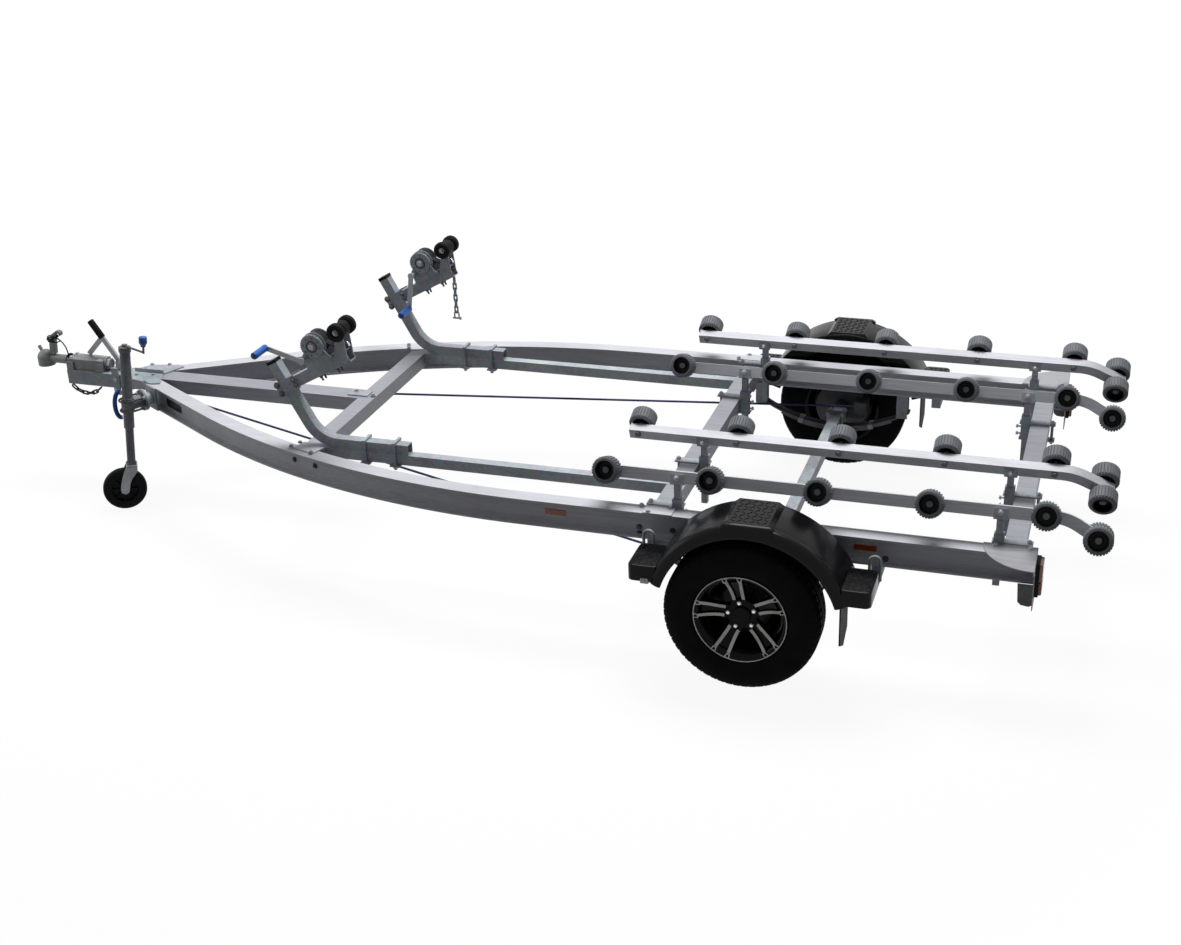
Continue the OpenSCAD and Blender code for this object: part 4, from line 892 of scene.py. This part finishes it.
def make_winch_bolts(name):
    arm = arm_place(CRADLES[name])
    bolts = Piece()
    for up in BOTH:
        for side in BOTH:
            ear = arm @ flip_y(side)
            # the ear bolts at the post and behind it take the darker galvanised: painted shade
            nut = ear @ move(POST_NUT_X, EAR_Y, up * POST_BOLT_Z) @ OUTWARD
            add_bolt(bolts, nut, "heavy", shank=2, material="galvanised_painted_shade")
            rear = ear @ move(POST_BOLT_X, EAR_Y, 0.6 * up * POST_BOLT_Z) @ OUTWARD
            add_bolt(bolts, rear, material="galvanised_painted_shade")
    for s in BASE_BOLT_S:
        for side in BOTH:
            under = arm @ move(-s, side * BASE_BOLT_Y, -ARM_W / 2) @ DOWNWARD
            add_bolt(bolts, under, "rod", shank=14, material="dark_steel")
    for side in BOTH:
        axle = arm @ flip_y(side) @ move(-DRUM_S, CHEEK_Y + EAR_T + 11, DRUM_N) @ OUTWARD
        bolts.add(stack([(ring(13), 0), (ring(13), 7), (ring(11), 9)]), "zinc_plate", axle)
    bolts.finish(name + "_winch_bolts", "frame", "zinc_plate", bevel=0.5)


def make_strap_hook(name):
    arm = arm_place(CRADLES[name])
    foot = (HOOK_REACH - ARM_LEN, 0, ARM_W / 2 + 4)
    bend = [(HOOK_BEND * cos_of(a) - ARM_LEN - 4, 0, HOOK_BEND * sin_of(a) + ARM_W / 2 + 16)
            for a in range(-60, 215, 15)]
    hook = Piece()
    hook.add(tube([foot] + bend, HOOK_R, 12), "chrome", arm)
    knot = arm @ move(HOOK_REACH - ARM_LEN, 0, ARM_W / 2 + 2) @ turn(-12, "Y")
    hook.add(pillow(34, 24, r=6, low=0, high=20, soft_edge=5), "black_plastic", knot)
    hook.finish(name + "_strap_hook", "frame", "zinc_plate")


for winch in CRADLES:
    make_grip(winch)
    make_bow_washers(winch)
    make_drum(winch)
    make_winch_bolts(winch)
    make_strap_hook(winch)


# Nuts under the post clamps, on the axle clamps, spring clips and the chain's shackle
POST_CLAMP_XS, POST_CLAMP_Y = (1595.0, 1730.0), POST_W / 2 + 7
SPRING_TOP, SPRING_R, LEAF_T, LEAF_W = 272.2, 620.0, 8.0, 45.0
AXLE_W, AXLE_Z, ROD_OUT, CLIP_A, CLIP_LEN = 50.0, 298.0, 8.0, 15.0, 22.0
CHAIN_X, CHAIN_DROP, CHAIN_LINKS, LINK_PITCH = 14.0 - ARM_LEN, 44.0, 5, 28.4
SHACKLE_HALF, SHACKLE_R, SHACKLE_PIN_R = 11.0, 3.6, 4.2


def make_underside_nuts():
    piece = Piece()
    for cradle in CRADLES.values():
        for x in POST_CLAMP_XS:
            for side in BOTH:
                under = move(x, cradle + side * POST_CLAMP_Y, RAIL_TOP - POST_W - PLATE_T)
                add_bolt(piece, under @ DOWNWARD, "nut")
    low, high = SPRING_TOP - 3 * LEAF_T - 0.6 - PLATE_T, AXLE_Z + AXLE_W / 2 + PLATE_T
    clip = slab(CLIP_LEN, LEAF_W + 9, 2.5 * LEAF_T + 3)
    for side in BOTH:
        for x in BOTH:
            for y in BOTH:
                rod = flip_y(side) @ move(x * (AXLE_W / 2 + ROD_OUT), WEB_Y + y * (LEAF_W / 2 + ROD_OUT), 0)
                add_bolt(piece, rod @ move(0, 0, low) @ DOWNWARD, "nut", material="galvanised")
                add_bolt(piece, rod @ move(0, 0, high), "nut", material="galvanised")
            bow = flip_y(side) @ move(0, WEB_Y, SPRING_TOP + SPRING_R) @ turn(-CLIP_A * x, "Y")
            piece.add(clip, "galvanised", bow @ move(0, 0, -SPRING_R - 1.25 * LEAF_T))
    piece.finish("underside_nuts", "frame", "galvanised", bevel=0.5)


def make_shackle():
    """The shackle at the low end of the chain that hangs from the right arm."""
    top = arm_place(CRADLES["right"]) @ Vector((CHAIN_X, 0, -ARM_W / 2))
    low = move(top.x, top.y, top.z - CHAIN_DROP - CHAIN_LINKS * LINK_PITCH)
    round_end = arc((0, -6), SHACKLE_HALF, 180, 0, 10)
    bow = [(x, 0, z) for x, z in [(-SHACKLE_HALF, -30)] + round_end + [(SHACKLE_HALF, -30)]]
    pin = low @ move(0, 0, -22) @ FORWARD
    piece = Piece()
    piece.add(tube(bow, SHACKLE_R, 12), "galvanised", low @ move(0, 0, 6))
    piece.add(round_bar(SHACKLE_PIN_R, -18, 20, 16), "galvanised", pin)
    piece.add(prism(ring(7.5), -21, -15), "galvanised", pin)
    piece.finish("chain_shackle", "frame", "zinc_plate")


make_underside_nuts()
make_shackle()


# Road wheels: half of the tyre's section, as distance from the middle, radius and, on the tread, the share
# of the cross grooves' depth
SIDES = dict(left=1, right=-1)
TYRE_R, TRACK, TREAD_BLOCKS, TREAD_DEPTH = 298.0, 1028.0, 60, 6.5
TREAD_SHARES, TREAD_LEAN, SHOULDER_Y = (0, 0.05, 0.77, 0.82), 0.35, 50.0
TREAD = [
    (0, 298, 0), (13, 298, 0), (14.5, 291, 0), (20.5, 291, 0), (22, 298, 1), (45, 297.4, 1),
    (46.5, 290.5, 0), (52.5, 290.5, 0), (54, 296.5, 0.8), (64, 293.5, 0.4), (71, 287, 0.25), (75, 279, 0.1)]
SIDEWALL = [
    (77.5, 270), (80.5, 258), (82, 244), (82, 232), (80.8, 216), (79, 204), (78.4, 200), (77, 191),
    (74.5, 185), (71, 181.5), (68.5, 180), (67.5, 172), (67, 165.5)]


def tyre_mesh():
    """The tyre about Z, its cross grooves cut between the tread blocks."""
    half = TREAD + [(y, r, 0) for y, r in SIDEWALL]
    section = [(-y, r, cut) for y, r, cut in reversed(half[1:])] + half
    steps = [360 * (k + share) / TREAD_BLOCKS for k in range(TREAD_BLOCKS) for share in TREAD_SHARES]
    lean = TREAD_LEAN * 360 / TREAD_BLOCKS
    loops = []
    for i, a in enumerate(steps):
        depth = TREAD_DEPTH if i % 4 in (0, 3) else 0
        loop = []
        for y, r, cut in section:
            swing = math.copysign(lean, y) * cut if abs(y) > SHOULDER_Y else 0
            loop.append(polar(r - depth * cut, a + swing, y))
        loops.append(loop)
    return skin(loops)


# The rim about Z, as radius and height; a spoke's line also has each bar's distance from the pair's middle
FACE_Z, SPOKES, SPOKE_TURN, STRIP_HALF = 38.0, 5, 280.0, 6.4
RIM_BARREL = [
    (169, 75), (178, 76.5), (180, 74.5), (179, 70.5), (165, 67), (160, 58), (144, 34), (141, 22), (141, -30),
    (147, -44), (160, -58), (165, -66), (178.5, -70), (180, -72.5), (178.5, -76), (170, -75), (161, -68),
    (156, -60), (143, -46), (136, -30), (136, 22), (139, 34), (155, 58), (161, 68)]
RIM_LIP = [(174, 75.6), (178.2, 76.2), (178, 77.4), (174.2, 76.8)]
RIM_HUB = [(62, 5), (62, FACE_Z - 6), (56, FACE_Z - 1)]
# RIM_SHADE is painted shade: a dark ring across the barrel's inner end, behind the spokes, for the dark seen
# through the wheel
RIM_SHADE = [(100, -30), (137, -30), (137, -27), (100, -27)]
RIM_CAP = [(35.5, FACE_Z - 2), (35.5, FACE_Z + 4), (33, FACE_Z + 8), (26, FACE_Z + 9), (14, FACE_Z + 9.4)]
SPOKE_LINE = [
    (54, 20, 36), (64, 18, 38), (80, 18, 41), (100, 19.5, 46), (125, 22.5, 55), (148, 26, 66),
    (167, 28.5, 75)]
SPOKE_FOOT, SPOKE_FOOT_R = [(-12, -7), (8, -11), (8, 11), (-12, 7)], 166.0
SPOKE_MARK = [(-7, -3.6), (4, -6.4), (4, 6.4), (-7, 3.6)]
WHEEL_NUT_R, NUT_SEAT = 52.0, [(9.5, -1), (13.5, -1), (13.5, 3), (9.5, 3)]


def bar(line, half, low, high):
    """A bar along points, with a half width, from low to high about the points' heights."""
    corners = ((-half, low), (-half, high), (half, high), (half, low))
    return loft([[(x, y + across, z + up) for across, up in corners] for x, y, z in line])


def add_spoke(rim, spoke):
    """A pair of bars with machined faces on a dark web, and the feet where they meet the lip."""
    web = [[(r, -y, z - 26), (r, -y, z - 7), (r, y, z - 7), (r, y, z - 26)] for r, y, z in SPOKE_LINE[:-1]]
    rim.add(loft(web), "rim_black", spoke)
    for half in BOTH:
        line = [(r, half * y, z) for r, y, z in SPOKE_LINE]
        rim.add(bar(line, STRIP_HALF + 2.2, -24, -0.6), "rim_black", spoke)
        rim.add(bar(line[1:], STRIP_HALF, -1.2, 0.6), "machined", spoke)
        foot = spoke @ move(SPOKE_FOOT_R, half * SPOKE_LINE[-1][1], 0)
        rim.add(prism(SPOKE_FOOT, 75.0, 76.3), "machined", foot)
        rim.add(prism(SPOKE_MARK, 76.1, 76.9), "rim_black", foot)


def add_wheel_nut(rim, nut):
    rim.add(lathe(NUT_SEAT, 24), "rim_black", nut)
    rim.add(prism(ring(8.6), 0, 9), "chrome", nut)
    rim.add(solid_of([(7.4, 9), (6, 12.5), (3, 14)], 20), "chrome", nut)


def make_wheel(name, side):
    """Tyre, and alloy rim with five twin spokes, cap and nuts, on one side."""
    place = flip_y(side) @ move(0, TRACK, TYRE_R) @ turn(-90, "X")
    tyre = Piece().add(tyre_mesh(), "tyre", place)
    tyre.finish(name + "_tyre_tread", name + "_wheel", "tyre", stands_for=[name + "_tyre"])
    rim = Piece()
    rim.add(lathe(RIM_BARREL, 96), "rim_black", place)
    rim.add(lathe(RIM_LIP, 96), "machined", place)
    rim.add(solid_of(RIM_HUB, 60), "rim_black", place)
    # the dark ring behind the spokes: painted shade
    rim.add(lathe(RIM_SHADE, 72), "rim_black", place)
    rim.add(solid_of(RIM_CAP, 48), "black_plastic", place)
    for k in range(SPOKES):
        spoke = place @ turn(SPOKE_TURN + 360 / SPOKES * k, "Z")
        add_spoke(rim, spoke)
        add_wheel_nut(rim, spoke @ move(WHEEL_NUT_R, 0, FACE_Z - 3))
    rim.finish(name + "_rim_spoked", name + "_wheel", "rim_black", bevel=0.5, stands_for=[name + "_rim"])


for wheel, wheel_side in SIDES.items():
    make_wheel(wheel, wheel_side)


# Mudguards: the section, as Y and radius, goes up the inner wall, over the top, round the lip and back below
GUARD_X, GUARD_R, GUARD_IN, GUARD_OUT = -27.0, 392.0, 885.0, 1125.0
STEP_TOP, STEP_LEN, STEP_D, STEP_INSET = 480.0, 106.0, 64.0, 55.0
GUARD_A = math.degrees(math.asin((STEP_TOP - STEP_D - TYRE_R) / GUARD_R))
GUARD_END = math.sqrt(GUARD_R ** 2 - (STEP_TOP - TYRE_R) ** 2)
PAD_TOP, PAD_MIDDLE, PAD_BASE, PAD_FACE = GUARD_R + 5.5, (GUARD_IN + 1110) / 2, (188, 214), (156, 202)
GUARD_TOP = [
    (GUARD_IN, 324), (GUARD_IN, 384), (GUARD_IN + 3, 390), (GUARD_IN + 10, GUARD_R), (990, GUARD_R),
    (1060, GUARD_R)]
GUARD_EDGE = [
    (1074, 391), (1084, 389.5), (1092, 390.5), (1102, 389), (1112, 383.5), (1119, 375), (1123, 363),
    (1124.6, 352), (1123, 344), (1118, 340), (1115, 343), (1118, 352), (1116, 363), (1112, 372), (1106, 380),
    (1098, 385)]
GUARD_UNDER = [
    (1084, 385), (1060, 387), (990, 387), (GUARD_IN + 10, 387), (GUARD_IN + 5, 383), (GUARD_IN + 4, 324)]
SKIRT = [(1088, 4), (1108, 3), (1118, -5), (1124.6, -24), (1123, -42), (1088, -20)]
SKIRT_ENDS = ((-96, -8), (-80, 0), (80, 0), (96, -8))
CHEQUER_LEAN = 42.0


def arch(section, start, end, steps=72):
    """Sweeps a closed (Y, radius) section about the wheel's axis from one angle to another."""
    angles = [start + (end - start) * k / steps for k in range(steps + 1)]
    return loft([[(r * cos_of(a), y, r * sin_of(a)) for y, r in section] for a in angles])


def add_chequer(piece, place, columns, rows, pitch, rib):
    """Raised ribs that lean left and right in turn, as on a tread plate."""
    for row in range(rows):
        for col in range(columns):
            spot = place @ move(pitch * (col - (columns - 1) / 2), pitch * (row - (rows - 1) / 2), 0)
            lean = CHEQUER_LEAN if (row + col) % 2 else -CHEQUER_LEAN
            piece.add(slab(*rib), "guard_black", spot @ turn(lean, "Z"))


def add_pad(guard, place):
    """The raised pad on top of the arch, with its chequer and the skirt that carries it over the edge."""
    middle = place @ move(0, PAD_MIDDLE, 0)
    base, face = rounded(*PAD_BASE, 8), rounded(*PAD_FACE, 6)
    crown = [(0.98 * x, 0.985 * y) for x, y in face]
    layers = [(base, GUARD_R - 18), (base, GUARD_R - 10), (face, PAD_TOP - 2), (crown, PAD_TOP)]
    guard.add(stack(layers), "guard_black", middle)
    add_chequer(guard, middle @ move(0, 0, PAD_TOP + 0.6), columns=6, rows=8, pitch=23.5, rib=(20, 4.6, 2.6))
    skirt = [[(x, y, GUARD_R + z + drop) for y, z in SKIRT] for x, drop in SKIRT_ENDS]
    guard.add(loft(skirt), "guard_black", place)


def make_mudguard(name, side):
    place = flip_y(side) @ move(GUARD_X, 0, TYRE_R)
    guard = Piece()
    guard.add(arch(GUARD_TOP + GUARD_EDGE + GUARD_UNDER, GUARD_A, 180 - GUARD_A), "guard_black", place)
    add_pad(guard, place)
    step = pillow(STEP_LEN + 12, GUARD_OUT - GUARD_IN - STEP_INSET, r=24, low=-STEP_D, high=0, soft_edge=7)
    for front in BOTH:
        along, across = front * (GUARD_END + STEP_LEN / 2 - 6), (GUARD_IN + GUARD_OUT + 35) / 2
        at = place @ move(along, across, STEP_TOP - TYRE_R)
        guard.add(step, "guard_black", at)
        add_chequer(guard, at @ move(6 * front, 0, 0.5), columns=4, rows=7, pitch=23.0, rib=(19, 5, 2.6))
    guard.finish(name + "_mudguard_moulded", "frame", "black_plastic", bevel=0.8, sharp=42,
                 stands_for=[name + "_mudguard"])
    bracket = Piece()
    corner = place @ move(GUARD_END + STEP_LEN * 0.35, GUARD_OUT - 8, STEP_TOP - STEP_D - TYRE_R + 8)
    bracket.add(pillow(32, 18, r=4, low=-10, high=8, soft_edge=3), "zinc_plate", corner)
    add_bolt(bracket, corner @ move(0, 9, -1) @ OUTWARD, "tiny", material="machined")
    bracket.finish(name + "_step_bracket", "frame", "zinc_plate")


for guard_name, guard_side in SIDES.items():
    make_mudguard(guard_name, guard_side)


# Tail lamps: a black tray with two lenses, each with its share of the height and the place of its middle
LAMP_BACK, LAMP_Y, LAMP_LOW, LAMP_HIGH, LAMP_W = -1024.0, 833.0, 412.0, 544.0, 90.0
LENSES = (("red_lens", 0.52, 0.215), ("amber_lens", 0.36, -0.27))
FOLD = [(0, 0), (0, -84), (10, -90), (38, -86), (50, -74), (54, 0)]
FOLD_AT, FOLD_HALF = (LAMP_BACK + 4, LAMP_Y + 52, LAMP_LOW + 56), 1.5


def make_tail_lamps():
    piece = Piece()
    height = LAMP_HIGH - LAMP_LOW
    for side in BOTH:
        back = flip_y(side) @ move(LAMP_BACK, LAMP_Y, (LAMP_LOW + LAMP_HIGH) / 2) @ BACKWARD
        piece.add(pillow(LAMP_W, height, r=8, low=0, high=15, soft_edge=3), "black_plastic", back)
        for lens, share, middle in LENSES:
            place = back @ move(0, height * middle, 0)
            piece.add(pillow(LAMP_W - 12, height * share, r=6, low=12, high=26, soft_edge=5), lens, place)
    piece.finish("tail_lamps_lensed", "frame", "red_lens", stands_for=["tail_lamps"])


def make_lamp_plate_folds():
    """The folded ends of the lamp plates, which hang beside the lamps; their dark finish is painted shade.
    """
    fold = Piece()
    for side in BOTH:
        # aluminium folds in the dark spring steel finish: painted shade
        fold.add(prism(FOLD, -FOLD_HALF, FOLD_HALF), "spring_steel", flip_y(side) @ move(*FOLD_AT) @ ALONG_Y)
    fold.finish("lamp_plate_folds", "frame", "aluminium")


make_tail_lamps()
make_lamp_plate_folds()


# Studio, in metres: each lamp has a name, place, target, size and watts
SKY_LIGHT, FLOOR_MATT, FLOOR_GLOW = 0.065, 0.08, 0.93
FLOOR_SIZE, GLOW_FROM, GLOW_FULL = 60.0, 3.0, 5.5
LAMPS = (
    ("top", (-0.2, -2.0, 8.0), (0, 0, 0.4), (6.0, 3.0), 700),
    ("front", (7.0, 1.6, 3.0), (1.5, 0, 0.6), (4.0, 3.0), 70))


def make_floor():
    """A white floor: a matt coat keeps a soft shadow, and a glow for direct rays alone makes it white."""
    matt = {"Base Color": tone(FLOOR_MATT), "Roughness": 1.0, "Specular IOR Level": 0.0}
    coat = bpy.data.materials.new("studio_white")
    white = Shader(coat, "Principled BSDF", matt)
    away = white.node("VectorMath", {0: white.place()}, operation="LENGTH").outputs["Value"]
    level = white.spread(away, {"From Min": GLOW_FROM, "From Max": GLOW_FULL, "To Min": FLOOR_GLOW})
    glow = white.node("Emission", {"Strength": white.math("MULTIPLY", level, white.seen_directly())})
    both = white.node("AddShader", {0: white.main.outputs[0], 1: glow.outputs[0]})
    white.feed(white.tree.nodes["Material Output"], {0: both.outputs[0]})
    bpy.ops.mesh.primitive_plane_add(size=FLOOR_SIZE, location=(0, 0, 0))
    floor = bpy.context.object
    floor.name = "floor"
    floor.data.materials.append(coat)


def make_light():
    """A white world that lights softly, and two soft lamps: one overhead, one ahead of the nose."""
    world = bpy.data.worlds.new("studio")
    bpy.context.scene.world = world
    sky = Shader(world, "Background", {"Color": tone(1.0)})
    sky.feed(sky.main, {"Strength": sky.spread(sky.seen_directly(), {"To Min": SKY_LIGHT})})
    for name, at, target, size, watts in LAMPS:
        data = bpy.data.lights.new(name, "AREA")
        data.shape, data.size, data.size_y, data.energy = "RECTANGLE", size[0], size[1], watts
        lamp = bpy.data.objects.new(name, data)
        bpy.context.scene.collection.objects.link(lamp)
        lamp.location = at
        lamp.rotation_euler = (Vector(target) - Vector(at)).to_track_quat("-Z", "Y").to_euler()


make_floor()
make_light()
bpy.context.scene.view_settings.view_transform = "Standard"
